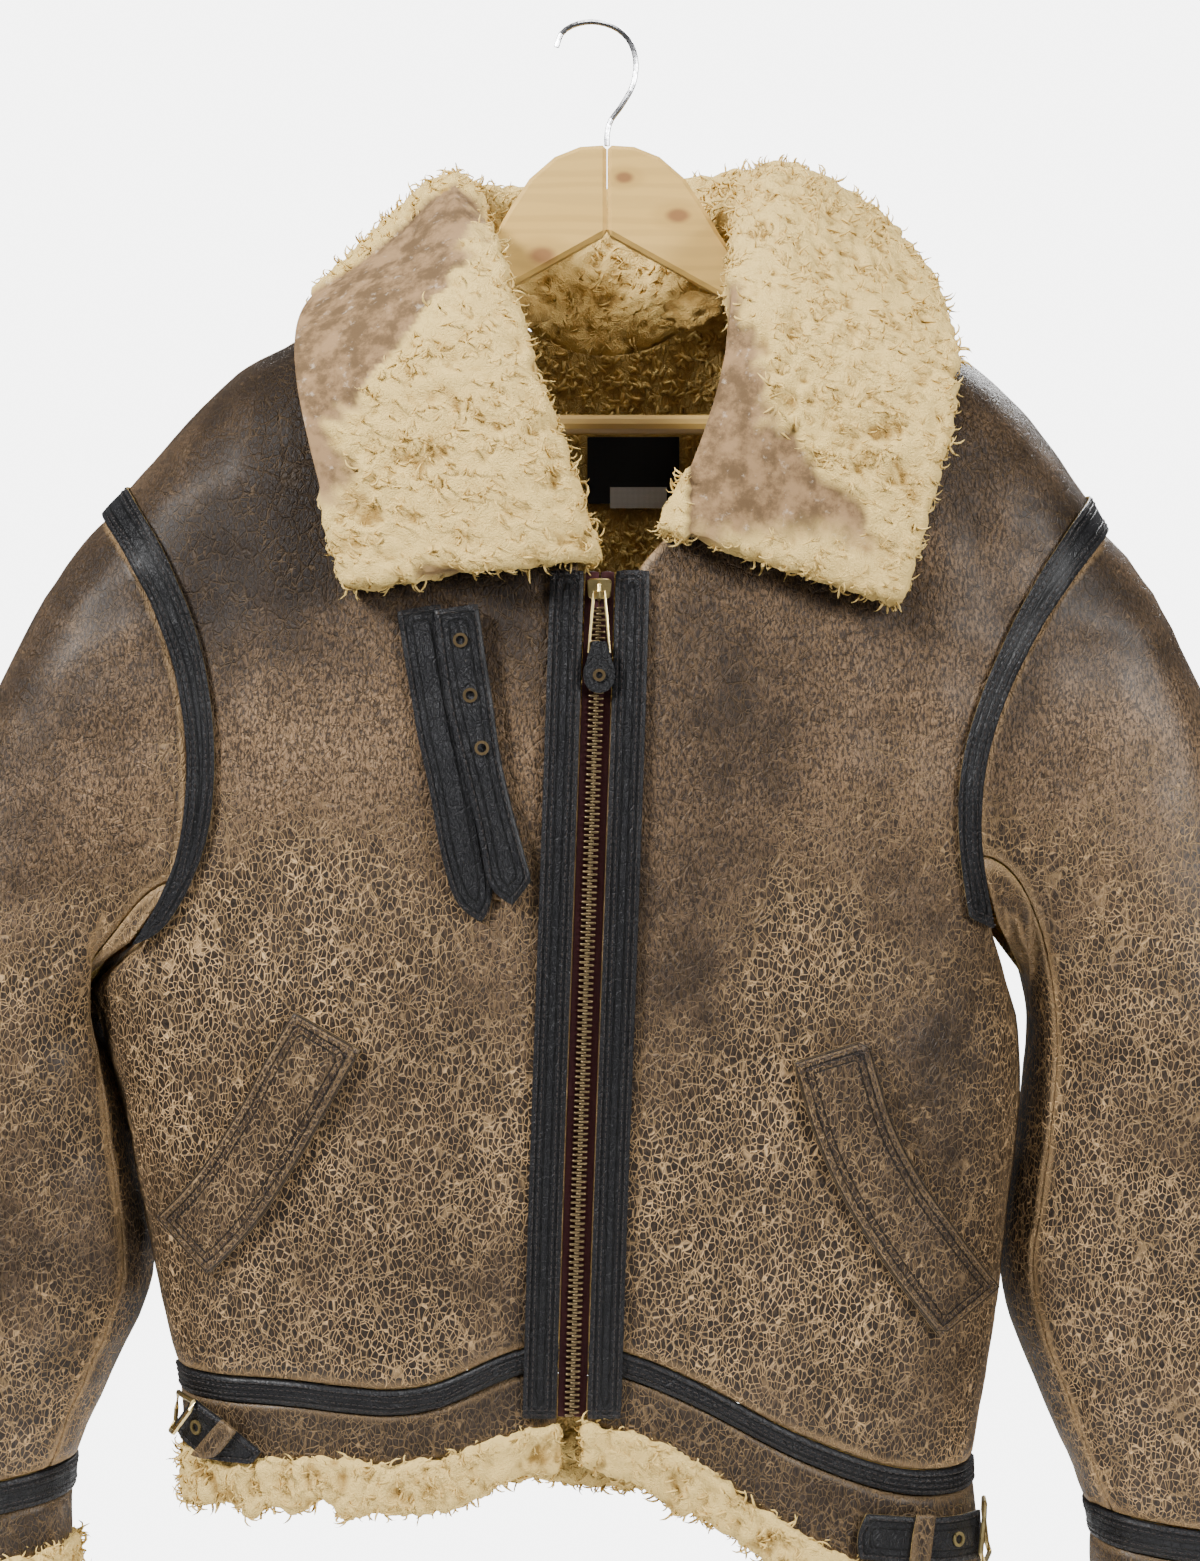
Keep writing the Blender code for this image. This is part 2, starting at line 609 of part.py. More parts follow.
def hem_pieces():
    """Waist strips, hem bands and the fur below them: two fronts and one back."""
    half = 0.5 * WAIST_STRIP_WIDTH
    spans = (
        # name, start, end, front, shares
        ("left", centre_edge(-1.0), body_edge(True), True, FRONT_SHARES),
        ("right", centre_edge(1.0), body_edge(False), True, FRONT_SHARES),
        ("back", body_edge(True), body_edge(False), False, BACK_SHARES),
    )
    for name, start, end, front, shares in spans:
        waist = WAIST_FRONT if front else WAIST_BACK
        hem = HEM_FRONT if front else HEM_BACK
        edges = (start, end, shares)
        strip = band_places(waist_line(waist, half - 2 * SEAM_GAP), waist_line(waist, -half),
                            *edges, 1)
        band_solid("waist_strip_" + name, strip, front, "black_leather", 0.0012, 0.0060)
        band = band_places(waist_line(waist, -half - 2 * SEAM_GAP), waist_line(hem, 0.0),
                           *edges, 2)
        band_solid("hem_band_" + name, band, front, "dark_hide", 0.0, HIDE_WALL)
        fine = [s for a, b in zip(shares, shares[1:]) for s in (a, 0.5 * (a + b))] + [1.0]
        fur = band_places(waist_line(hem, -2 * SEAM_GAP), fur_edge(hem), start, end, fine, 1)
        for k in range(1, len(fine), 2):
            before, after = fur[0][k - 1], fur[0][k + 1]
            fur[0][k] = (0.5 * (before[0] + after[0]), 0.5 * (before[1] + after[1]))
        band_solid("hem_fur_" + name, fur, front, "cream_fur", 0.0015, 0.0150)


def tree_of(obj):
    return BVHTree.FromPolygons([v.co for v in obj.data.vertices],
                                [p.vertices for p in obj.data.polygons])


def on_panel(tree, x, z, front, lift):
    """Point lying on a panel's own faces, moved out by a lift, and the normal there."""
    normal = body_normal(x, z, front)
    smooth = body_point(x, z, front)
    found = tree.find_nearest(smooth + normal * 0.004)[0]
    base = found if found is not None else smooth
    return base + normal * lift, normal


def overlay(name, places, tree, front, finish, lift, thick):
    """A flat piece lying on a panel: grid of (x, z) places, rows across, columns along."""
    outer = [[on_panel(tree, x, z, front, lift + thick)[0] for x, z in row] for row in places]
    inner = [[on_panel(tree, x, z, front, lift)[0] for x, z in row] for row in places]
    return add_wall(name, outer, inner, finish)


def ribbon_places(points, width, count, across=1, pointed=0.0):
    """Rows across a ribbon along a line of (x, z) points, the first point at the top."""
    rows = [[] for _ in range(across + 1)]
    for k in range(count + 1):
        t = k / count
        here = smooth_curve(points, t)
        ahead = smooth_curve(points, min(t + 0.01, 1.0)) - smooth_curve(points, max(t - 0.01, 0.0))
        ahead /= np.linalg.norm(ahead)
        side = np.array((-ahead[1], ahead[0]))
        for i in range(across + 1):
            share = i / across - 0.5
            slip = pointed * (1.0 - 2.0 * abs(share)) if k == count else 0.0
            place = here + side * share * width + ahead * slip
            rows[i].append((float(place[0]), float(place[1])))
    return rows


def upright(rows):
    """Turns a ribbon's rows so that the grid's first index runs down it."""
    return [list(column) for column in zip(*rows)]


def armhole_strip(name, left, front_rows, back_rows):
    """Leather strip on the body side of the armhole seam, made from the panels' own points."""
    first = len(front_rows) - ARMHOLE_STEPS
    outer = []
    inner = []
    turns = [(True, i) for i in range(first, len(front_rows))]
    turns += [(False, i) for i in range(len(back_rows) - 2, first - 1, -1)]
    for front, i in turns:
        rows = front_rows if front else back_rows
        places = rows[i] if front or not left else list(reversed(rows[i]))
        points = [body_point(x, z, front) for x, z in places]
        kept = (points[-1], points[-2], points[-3])
        high = []
        low = []
        for point in kept:
            normal = body_normal(point.x, point.z, front)
            if i == len(rows) - 1:
                point = Vector((point.x, 0.0, point.z))
                normal = Vector((normal.x, 0.0, normal.z)).normalized()
            low.append(point + normal * ARMHOLE_STRIP_LIFT)
            high.append(point + normal * (ARMHOLE_STRIP_LIFT + STRIP_THICK))
        outer.append(high)
        inner.append(low)
    return add_wall(name, outer, inner, "black_leather")


def armhole_ring(left, turn):
    """Point, wall direction and leaving direction on the armhole; turn 0 is the shoulder.

    The turn goes over the front to the armpit at one half, and comes back up behind.
    """
    path = ARMHOLE_LEFT if left else ARMHOLE_RIGHT
    out = -1.0 if left else 1.0
    turn = turn % 1.0
    front = turn <= 0.5
    t = 1.0 - 2.0 * turn if front else 2.0 * turn - 1.0
    x, z = (float(c) for c in smooth_curve(path, t))
    point = body_point(x, z, front)
    normal = body_normal(x, z, front)
    near_pit = max(0.0, 1.0 - t / 0.22)
    near_top = max(0.0, 1.0 - (1.0 - t) / 0.12)
    if t > 0.999:
        point.y = 0.0
        normal = Vector((normal.x, 0.0, normal.z)).normalized()
    outward = Vector((out, 0.0, 0.0))
    leave = (outward - normal * outward.dot(normal)).normalized()
    leave = (leave * (1.0 - near_pit) + Vector((out * 0.90, 0.0, -0.43)) * near_pit).normalized()
    leave = (leave * (1.0 - near_top) + Vector((out * 0.72, 0.0, -0.69)) * near_top).normalized()
    into = (-normal * (1.0 - near_pit) + Vector((out * 0.25, 0.0, 0.95)) * near_pit).normalized()
    gap = leave * 0.0013
    gap = gap + Vector((out * 0.0064, 0.0, 0.0068)) * near_pit
    return point + gap, into, leave


def sleeve_ring(left, z_key, turn):
    """Point of a sleeve section below the armpit."""
    outer, inner, middle, half_depth, slope = by_first(SLEEVE_LEFT if left else SLEEVE_RIGHT, z_key)
    centre = 0.5 * (outer + inner)
    half = 0.5 * (outer - inner)
    angle = 2.0 * pi * turn
    power = 2.0 / 2.3
    c = cos(angle)
    s = sin(angle)
    x = centre + half * (abs(c) ** power) * (1 if c >= 0 else -1)
    y = middle - half_depth * (abs(s) ** power) * (1 if s >= 0 else -1)
    return Vector((x, y, z_key + slope * (x - centre)))


def clear_of_body(point, left, gap=0.0048):
    """Moves a sleeve point sideways until it is outside the body."""
    front = point.y < 0
    z = point.z
    edge = by_first(BODY_SECTIONS, z)[0 if left else 1]
    side = -1.0 if left else 1.0
    near = 0.0
    far = abs(edge)
    if body_depth(0.0, z, front) <= abs(point.y):
        return point
    for _ in range(24):
        middle = 0.5 * (near + far)
        if body_depth(side * middle, z, front) > abs(point.y):
            near = middle
        else:
            far = middle
    limit = far + gap
    if side * point.x < limit:
        return Vector((side * limit, point.y, point.z))
    return point


def sleeve_grid(left):
    """Rings of points from the armhole down to the cuff's strip, and their wall directions."""
    table = SLEEVE_LEFT if left else SLEEVE_RIGHT
    steps = spread(ARMHOLE_STEPS, 1.5)
    seams = [0.5 - 0.5 * t for t in reversed(steps)] + [0.5 + 0.5 * t for t in steps[1:-1]]
    count = len(seams)
    turns = [k / count for k in range(count)]
    starts = [armhole_ring(left, turn) for turn in seams]
    rows = []
    for w in (0.0, 0.08, 0.22, 0.40, 0.60, 0.80, 1.0):
        row = []
        for turn, (point, _, leave) in zip(turns, starts):
            target = sleeve_ring(left, table[0][0], turn)
            reach = (target - point).length * 0.85
            down = Vector((0.0, 0.0, -reach))
            h1 = 2 * w ** 3 - 3 * w ** 2 + 1
            h2 = w ** 3 - 2 * w ** 2 + w
            h3 = 3 * w ** 2 - 2 * w ** 3
            h4 = w ** 3 - w ** 2
            place = point * h1 + leave * reach * h2 + target * h3 + down * h4
            if w > 0.0 and place.z < BELOW_ARMHOLE:
                place = clear_of_body(place, left)
            row.append(place)
        rows.append(row)
    for z in np.linspace(table[0][0], table[-3][0], 9)[1:]:
        rows.append([clear_of_body(sleeve_ring(left, float(z), turn), left) for turn in turns])
    return rows, [start[1] for start in starts]


def wall_inside(rows, first_into, thick, left):
    """Inner rings of a sleeve: each point moved in along the wall's own direction."""
    inner = []
    sign = -1.0 if left else 1.0
    count = len(rows[0])
    for i, row in enumerate(rows):
        line = []
        for j, point in enumerate(row):
            if i == 0:
                line.append(point + first_into[j] * thick)
                continue
            up = rows[min(i + 1, len(rows) - 1)][j] - rows[i - 1][j]
            around = row[(j + 1) % count] - row[j - 1]
            normal = around.cross(up).normalized() * sign
            line.append(point - normal * thick)
        inner.append(line)
    return inner


def columns_between(rows, start, end):
    """Part of a ring grid, its end columns drawn in by the seam's gap."""
    count = len(rows[0])
    out = []
    for row in rows:
        line = [row[j % count].copy() for j in range(start, end + 1)]
        line[0] += (line[1] - line[0]).normalized() * 2 * SEAM_GAP
        line[-1] += (line[-2] - line[-1]).normalized() * 2 * SEAM_GAP
        out.append(line)
    return out


def sleeve_panels(left):
    """The two panels of a sleeve: the upper one, and the under one on the inner side."""
    name = "sleeve_left" if left else "sleeve_right"
    rows, into = sleeve_grid(left)
    inner = wall_inside(rows, into, SLEEVE_WALL, left)
    count = len(rows[0])
    for part, start, end in (("upper", SLEEVE_SPLIT_BACK - count, SLEEVE_SPLIT_FRONT),
                             ("under", SLEEVE_SPLIT_FRONT, SLEEVE_SPLIT_BACK)):
        add_wall(name + "_" + part, columns_between(rows, start, end),
                 columns_between(inner, start, end), "brown_hide")


def cuff_piece(name, left, z_top, z_bottom, raised, thick, finish, rows=1, lumps=0.0):
    """A ring round the end of the sleeve between two heights."""
    count = 22
    grids = []
    for i in range(rows + 1):
        z = z_top + (z_bottom - z_top) * i / rows
        ring = []
        for k in range(count):
            point = sleeve_ring(left, z, k / count)
            if lumps and i == rows:
                point.z -= lumps * (1.0 + sin(2 * pi * 5 * k / count))
            ring.append(point)
        grids.append(ring)
    outer = []
    inner = []
    for ring in grids:
        centre = sum(ring, Vector()) / count
        line_out = []
        line_in = []
        for k, point in enumerate(ring):
            along = ring[(k + 1) % count] - ring[k - 1]
            outward = Vector((along.y, -along.x, 0.0)).normalized()
            if outward.dot(point - centre) < 0:
                outward = -outward
            line_out.append(point + outward * raised)
            line_in.append(point + outward * (raised - thick))
        outer.append(line_out)
        inner.append(line_in)
    return add_wall(name, outer, inner, finish, ring=True)


def cuffs(left):
    name = "cuff_left_" if left else "cuff_right_"
    table = SLEEVE_LEFT if left else SLEEVE_RIGHT
    top = table[-3][0] - 3 * SEAM_GAP
    strip_end = top - CUFF_BAND_LENGTH
    panel_end = strip_end - SEAM_GAP - CUFF_PANEL_LENGTH
    cuff_piece(name + "strip", left, top, strip_end, 0.0012, 0.0060, "black_leather")
    cuff_piece(name + "panel", left, strip_end - SEAM_GAP, panel_end, 0.0, SLEEVE_WALL,
               "dark_hide")
    cuff_piece(name + "fur", left, panel_end - SEAM_GAP, table[-1][0] - 0.008, 0.0030, 0.0130,
               "cream_fur", 2, 0.0025)


def collar():
    """Turned-down collar in one piece; its hide side lies on the body and its fur shows."""
    count = 30
    steps = 8
    neck = [row[0:3] for row in COLLAR_SECTIONS]
    fold = [row[3:6] for row in COLLAR_SECTIONS]
    edge = [row[6:9] for row in COLLAR_SECTIONS]
    rows = []
    for k in range(count + 1):
        t = k / count
        n = smooth_curve(neck, t)
        f = smooth_curve(fold, t)
        e = smooth_curve(edge, t)
        stand = 0.5 - 0.5 * cos(2 * pi * t)
        middle = 0.5 * (f + e) + np.array((0.0, 0.0, 0.010 * (1.0 - abs(2 * t - 1.0))))
        row = []
        for i in range(steps + 1):
            q = (i / steps) ** (1.25 - 0.25 * stand)
            row.append(clear_collar(Vector(smooth_curve((n, f, middle, e), q)), i))
        rows.append(row)
    outer = []
    for k, row in enumerate(rows):
        line = []
        for i, point in enumerate(row):
            along = rows[min(k + 1, count)][i] - rows[max(k - 1, 0)][i]
            across = row[min(i + 1, steps)] - row[max(i - 1, 0)]
            normal = along.cross(across).normalized()
            thick = COLLAR_THICK * (0.45 if i == 0 else 0.8 if i == 1 else 1.0)
            line.append(point + normal * thick)
        outer.append(line)
    return add_wall("collar", outer, rows, "cream_fur")


def clear_collar(point, step):
    """Keeps the hide side of the collar just off the body."""
    if step == 0:
        return point
    front = point.y < 0.0
    ridge = shoulder_height(point.x)
    if abs(point.x) < 0.060 and point.y > 0.0:
        return point
    if point.z >= ridge + COLLAR_CLEARANCE:
        return point
    depth = body_depth(point.x, min(point.z, ridge), front) + COLLAR_CLEARANCE
    if abs(point.y) < depth:
        if point.z > ridge - 0.006:
            point.z = ridge + COLLAR_CLEARANCE
        else:
            point.y = -depth if front else depth
    return point


def extruded(name, outline, thick, place, finish, bevel=0.0):
    """A flat outline in its own XY plane, made thick along its Z, then placed by a matrix."""
    count = len(outline)
    verts = [place @ Vector((x, y, 0.5 * thick)) for x, y in outline]
    verts += [place @ Vector((x, y, -0.5 * thick)) for x, y in outline]
    faces = [tuple(range(count)), tuple(reversed(range(count, 2 * count)))]
    for k in range(count):
        after = (k + 1) % count
        faces.append((k, k + count, after + count, after))
    obj = add_object(name, verts, faces, finish)
    if bevel:
        modifier = obj.modifiers.new("Bevel", "BEVEL")
        modifier.width = bevel
        modifier.segments = 1
        modifier.limit_method = "ANGLE"
        modifier.angle_limit = radians(50)
    return obj


def tube(name, route, radius, sides, finish, closed=False):
    """A round wire along a route of points."""
    count = len(route)
    verts = []
    faces = []
    carry = Vector((0.0, 1.0, 0.0))
    for k in range(count):
        before = route[k - 1] if closed or k > 0 else route[0]
        after = route[(k + 1) % count] if closed or k < count - 1 else route[-1]
        along = (after - before).normalized()
        carry = (carry - along * carry.dot(along)).normalized()
        other = along.cross(carry)
        for j in range(sides):
            angle = 2 * pi * j / sides
            verts.append(route[k] + (carry * cos(angle) + other * sin(angle)) * radius)
    spans = count if closed else count - 1
    for k in range(spans):
        here = k * sides
        there = (k + 1) % count * sides
        for j in range(sides):
            nxt = (j + 1) % sides
            faces.append((here + j, here + nxt, there + nxt, there + j))
    if not closed:
        faces.append(tuple(reversed(range(sides))))
        faces.append(tuple(range((count - 1) * sides, count * sides)))
    return add_object(name, verts, faces, finish)


def ring_plate(name, centre, normal, outer_radius, inner_radius, thick, finish, sides=12):
    """An eyelet: a flat ring facing along a normal."""
    turn = normal.to_track_quat("Z", "Y").to_matrix().to_4x4()
    place = Matrix.Translation(centre) @ turn
    verts = []
    for z, radius in ((0.5, outer_radius), (0.5, inner_radius), (-0.5, inner_radius),
                      (-0.5, outer_radius)):
        for j in range(sides):
            angle = 2 * pi * j / sides
            verts.append(place @ Vector((radius * cos(angle), radius * sin(angle), z * thick)))
    faces = []
    for band in range(4):
        here = band * sides
        there = (band + 1) % 4 * sides
        for j in range(sides):
            nxt = (j + 1) % sides
            faces.append((here + nxt, here + j, there + j, there + nxt))
    return add_object(name, verts, faces, finish)


# Hanger arm, upper edge from the middle outwards, then the lower edge back
HANGER_TOP = ((0.0002, -0.0710), (0.0160, -0.0720), (0.0310, -0.0780), (0.0460, -0.0910),
              (0.0575, -0.1085), (0.0660, -0.1230), (0.0750, -0.1360), (0.0870, -0.1435))
HANGER_END_LEFT = ((0.1820, -0.1972), (0.2100, -0.2125), (0.2220, -0.2210))
HANGER_END_RIGHT = ((0.1820, -0.1935), (0.2060, -0.2050), (0.2220, -0.2200))
HANGER_LOW = ((0.2225, -0.2470), (0.1890, -0.2455), (0.1890, -0.2275), (0.0770, -0.1660),
              (0.0002, -0.1233))
HOOK_ROUTE = ((-0.0300, -0.0120), (-0.0270, -0.0040), (-0.0195, 0.0010), (-0.0080, 0.0028),
              (0.0045, -0.0005), (0.0130, -0.0080), (0.0170, -0.0200), (0.0155, -0.0340),
              (0.0085, -0.0470), (0.0020, -0.0560), (0.0000, -0.0640), (0.0000, -0.0706))


def hanger():
    """Two wooden arms, the round bar between them and the wire hook."""
    upright_plane = Matrix.Rotation(radians(90), 4, "X")
    for name, side, end in (("left", -1.0, HANGER_END_LEFT), ("right", 1.0, HANGER_END_RIGHT)):
        outline = [(side * x, z) for x, z in HANGER_TOP + end + HANGER_LOW]
        if side > 0:
            outline.reverse()
        extruded("hanger_arm_" + name, outline, HANGER_THICK, upright_plane, "pale_wood", 0.0025)
    bar = [Vector((x, 0.0, HANGER_BAR_Z)) for x in (-HANGER_BAR_HALF, HANGER_BAR_HALF)]
    tube("hanger_bar", bar, HANGER_BAR_RADIUS, 12, "pale_wood")
    route = [Vector((x, 0.0, z)) for x, z in (smooth_curve(HOOK_ROUTE, k / 30) for k in range(31))]
    tube("hanger_hook", route, HOOK_WIRE_RADIUS, 8, "chrome_wire")


def zip_pieces():
    """Leather strips beside the zip, its two tape halves and the closed chain."""
    bottom = line_height(HEM_FRONT, ZIP_LINE_FOOT) + ZIP_END_MARGIN
    heights = [bottom + (ZIP_TOP_Z - bottom) * k / ZIP_ROWS for k in range(ZIP_ROWS + 1)]
    for name, side in (("left", -1.0), ("right", 1.0)):
        strip = []
        tape_out = []
        tape_in = []
        for z in heights:
            middle = zip_x(z)
            near = middle + side * (ZIP_GAP_HALF + SEAM_GAP)
            far = middle + side * (ZIP_GAP_HALF + ZIP_STRIP_WIDTH)
            strip.append([(near, z), (far, z)] if side > 0 else [(far, z), (near, z)])
            pair = sorted((middle + side * (ZIP_GAP_HALF - SEAM_GAP), middle + side * SEAM_GAP))
            tape_out.append([body_point(x, z, True) + Vector((0, ZIP_TAPE_DEPTH, 0)) for x in pair])
            tape_in.append([p + Vector((0, ZIP_TAPE_THICK, 0)) for p in tape_out[-1]])
        outer = []
        inner = []
        for row in strip:
            outer.append([])
            inner.append([])
            for x, z in row:
                point = body_point(x, z, True) + body_normal(x, z, True) * ZIP_STRIP_LIFT
                outer[-1].append(point + Vector((0, -STRIP_THICK, 0)))
                inner[-1].append(point)
        add_wall("zip_strip_" + name, outer, inner, "black_leather")
        add_wall("zip_tape_" + name, tape_out, tape_in, "burgundy_tape")
    outer = []
    inner = []
    for z in heights[:-1] + [SLIDER_Z - SLIDER_WIDTH * 0.43]:
        row = []
        for side in (0.5, -0.5):
            x = zip_x(z) + side * ZIP_CHAIN_WIDTH
            row.append(body_point(zip_x(z), z, True) + Vector((x - zip_x(z), ZIP_CHAIN_DEPTH, 0)))
        inner.append(row)
        outer.append([p + Vector((0, -ZIP_CHAIN_THICK, 0)) for p in row])
    add_wall("zip_chain", outer, inner, "aged_brass")


def slider_and_pull():
    """Slider at the top of the chain, and its pull hanging on a bridge."""
    x = zip_x(SLIDER_Z)
    face = -body_depth(x, SLIDER_Z, True) + 0.0014
    body = [(-0.5, 0.95), (-0.38, 1.15), (0.38, 1.15), (0.5, 0.95), (0.44, -0.55), (0.3, -0.75),
            (-0.3, -0.75), (-0.44, -0.55)]
    outline = [(SLIDER_WIDTH * a, 0.010 * b * 0.6) for a, b in body]
    outline.reverse()
    place = Matrix.Translation((x, face - 0.0022, SLIDER_Z + 0.0035)) @ Matrix.Rotation(
        radians(90), 4, "X")
    extruded("slider", outline, 0.0040, place, "gold_brass", 0.0006)
    front = face - 0.0042
    bridge = [Vector((x, front - 0.0002, SLIDER_Z + 0.0075)),
              Vector((x, front - 0.0036, SLIDER_Z + 0.0065)),
              Vector((x, front - 0.0046, SLIDER_Z + 0.0030)),
              Vector((x, front - 0.0036, SLIDER_Z - 0.0005)),
              Vector((x, front - 0.0002, SLIDER_Z - 0.0015))]
    bridge = [p + Vector((0, -0.0012, 0)) for p in bridge]
    tube("slider_bridge", bridge, 0.0011, 6, "gold_brass")
    hinge_y = front - 0.0030
    length = PULL_FRAME_LENGTH
    frame = [Vector((x - 0.0028, hinge_y, PULL_HINGE_Z)), Vector((x + 0.0028, hinge_y, PULL_HINGE_Z)),
             Vector((x + 0.0042, hinge_y, PULL_HINGE_Z - 0.4 * length)),
             Vector((x + 0.0058, hinge_y, PULL_HINGE_Z - length)),
             Vector((x - 0.0058, hinge_y, PULL_HINGE_Z - length)),
             Vector((x - 0.0042, hinge_y, PULL_HINGE_Z - 0.4 * length))]
    tube("pull_frame", frame, 0.0009, 6, "gold_brass", closed=True)
    tab_top = PULL_HINGE_Z - length + 0.0060
    half = 0.5 * PULL_TAB_WIDTH
    tab = [(-0.0038, 0.0), (0.0038, 0.0), (half, -0.0160)]
    tab += [(half * cos(a), -0.0200 - 0.0090 * sin(a)) for a in
            [pi * k / 10 for k in range(0, 11)]]
    tab += [(-half, -0.0160)]
    tab.reverse()
    place = Matrix.Translation((x, hinge_y - 0.0023, tab_top)) @ Matrix.Rotation(
        radians(90), 4, "X")
    extruded("pull_tab", tab, 0.0024, place, "black_leather")
    ring_plate("pull_eyelet", Vector((x, hinge_y - 0.0041, tab_top - 0.0190)),
               Vector((0, -1, 0)), 0.0036, 0.0019, 0.0010, "aged_brass")


def strap(name, points, width, thick, lift, tree, finish, pointed=STRAP_POINT, count=9):
    """A strap lying on a panel along a line, with a pointed lower end."""
    rows = ribbon_places(points, width, count, 2, pointed)
    grid = upright(rows)
    return overlay(name, grid, tree, True, finish, lift, thick)


def straps_and_pockets(left_tree, right_tree, band_left, band_right):
    welts = (("pocket_welt_left", POCKET_LEFT, left_tree), ("pocket_welt_right", POCKET_RIGHT, right_tree))
    for name, points, tree in welts:
        strap(name, points, POCKET_WIDTH, WELT_THICK, PANEL_LIFT, tree, "dark_hide", 0.0, 8)
    lift = PANEL_LIFT
    strap("collar_strap_back", COLLAR_STRAP_BACK, COLLAR_STRAP_WIDTH, COLLAR_STRAP_THICK, lift,
          left_tree, "black_leather")
    lift += LIFT + COLLAR_STRAP_THICK
    strap("collar_strap_front", COLLAR_STRAP_FRONT, COLLAR_STRAP_WIDTH, COLLAR_STRAP_THICK, lift,
          left_tree, "black_leather")
    for k, share in enumerate(COLLAR_EYELET_SHARES):
        x, z = (float(c) for c in smooth_curve(COLLAR_STRAP_FRONT, share))
        centre, normal = on_panel(left_tree, x, z, True, lift + COLLAR_STRAP_THICK + EYELET_LIFT)
        ring_plate("collar_eyelet_%d" % (k + 1), centre, normal, *COLLAR_EYELET, "aged_brass")
    top = SIDE_STRAP_LIFT + SIDE_STRAP_THICK
    sides = (("left", SIDE_STRAP_LEFT, band_left), ("right", SIDE_STRAP_RIGHT, band_right))
    for name, points, tree in sides:
        strap("side_strap_" + name, points, SIDE_STRAP_WIDTH, SIDE_STRAP_THICK, SIDE_STRAP_LIFT,
              tree, "black_leather", SIDE_STRAP_POINT, 6)
        middle = smooth_curve(points, KEEPER_SHARE)
        ahead = smooth_curve(points, KEEPER_SHARE + 0.08) - smooth_curve(points, KEEPER_SHARE - 0.08)
        ahead /= np.linalg.norm(ahead)
        across = np.array((-ahead[1], ahead[0])) * 0.5 * KEEPER_LENGTH
        keeper = upright(ribbon_places([middle - across, middle, middle + across],
                                       KEEPER_WIDTH, 3, 1))
        overlay("side_keeper_" + name, keeper, tree, True, "dark_hide", top + KEEPER_LIFT,
                KEEPER_THICK)
        x, z = (float(c) for c in smooth_curve(points, SIDE_EYELET_SHARE))
        centre, normal = on_panel(tree, x, z, True, top + EYELET_LIFT)
        ring_plate("side_eyelet_" + name, centre, normal, *SIDE_EYELET, "gold_brass")
        start = smooth_curve(points, 0.0)
        lead = smooth_curve(points, 0.1) - start
        lead /= np.linalg.norm(lead)
        rise = np.array((-lead[1], lead[0]))
        frame = []
        for a, b in BUCKLE_CORNERS:
            spot = start + lead * (BUCKLE_HALF_LENGTH * a - BUCKLE_SETBACK)
            spot = spot + rise * BUCKLE_HALF_WIDTH * b
            lift = BUCKLE_LIFT + BUCKLE_TILT * a
            frame.append(on_panel(tree, float(spot[0]), float(spot[1]), True, lift)[0])
        tube("side_buckle_" + name, frame, BUCKLE_WIRE, 6, "gold_brass", closed=True)


def neck_label():
    """Bare woven label and a small bare size tag inside the back of the neck."""
    for name, place, lift, finish in (("neck_label", LABEL_PLACE, 0.0006, "black_cloth"),
                                      ("neck_tag", TAG_PLACE, 0.0020, "white_cloth")):
        x0, x1, z_top, z_low = place
        outer = []
        inner = []
        for i in range(3):
            z = z_top + (z_low - z_top) * i / 2
            outer.append([])
            inner.append([])
            for k in range(5):
                x = x0 + (x1 - x0) * k / 4
                wall = body_point(x, z, False).y - HIDE_WALL - 0.0012
                outer[-1].append(Vector((x, wall - lift - 0.0008, z)))
                inner[-1].append(Vector((x, wall - lift, z)))
        add_wall(name, outer, inner, finish)


def build():
    for obj in list(bpy.data.objects):
        bpy.data.objects.remove(obj, do_unlink=True)
    hanger()
    left, left_rows = front_panel("front_left", True)
    right, right_rows = front_panel("front_right", False)
    back_rows = back_panel()[1]
    left_tree = tree_of(left)
    hem_pieces()
    band_left = tree_of(bpy.data.objects["hem_band_left"])
    band_right = tree_of(bpy.data.objects["hem_band_right"])
    armhole_strip("armhole_strip_left", True, left_rows, back_rows)
    armhole_strip("armhole_strip_right", False, right_rows, back_rows)
    for is_left in (True, False):
        sleeve_panels(is_left)
        cuffs(is_left)
    collar()
    zip_pieces()
    slider_and_pull()
    straps_and_pockets(left_tree, tree_of(right), band_left, band_right)
    neck_label()


build()
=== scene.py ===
"""Looks of a sheepskin flying jacket on a wooden hanger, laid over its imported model."""
from math import exp, pi, radians

import bmesh
import bpy
import numpy as np
from bpy.props import FloatProperty, FloatVectorProperty, IntProperty, PointerProperty
from mathutils import Matrix, Vector, noise
from mathutils.bvhtree import BVHTree
from mathutils.kdtree import KDTree


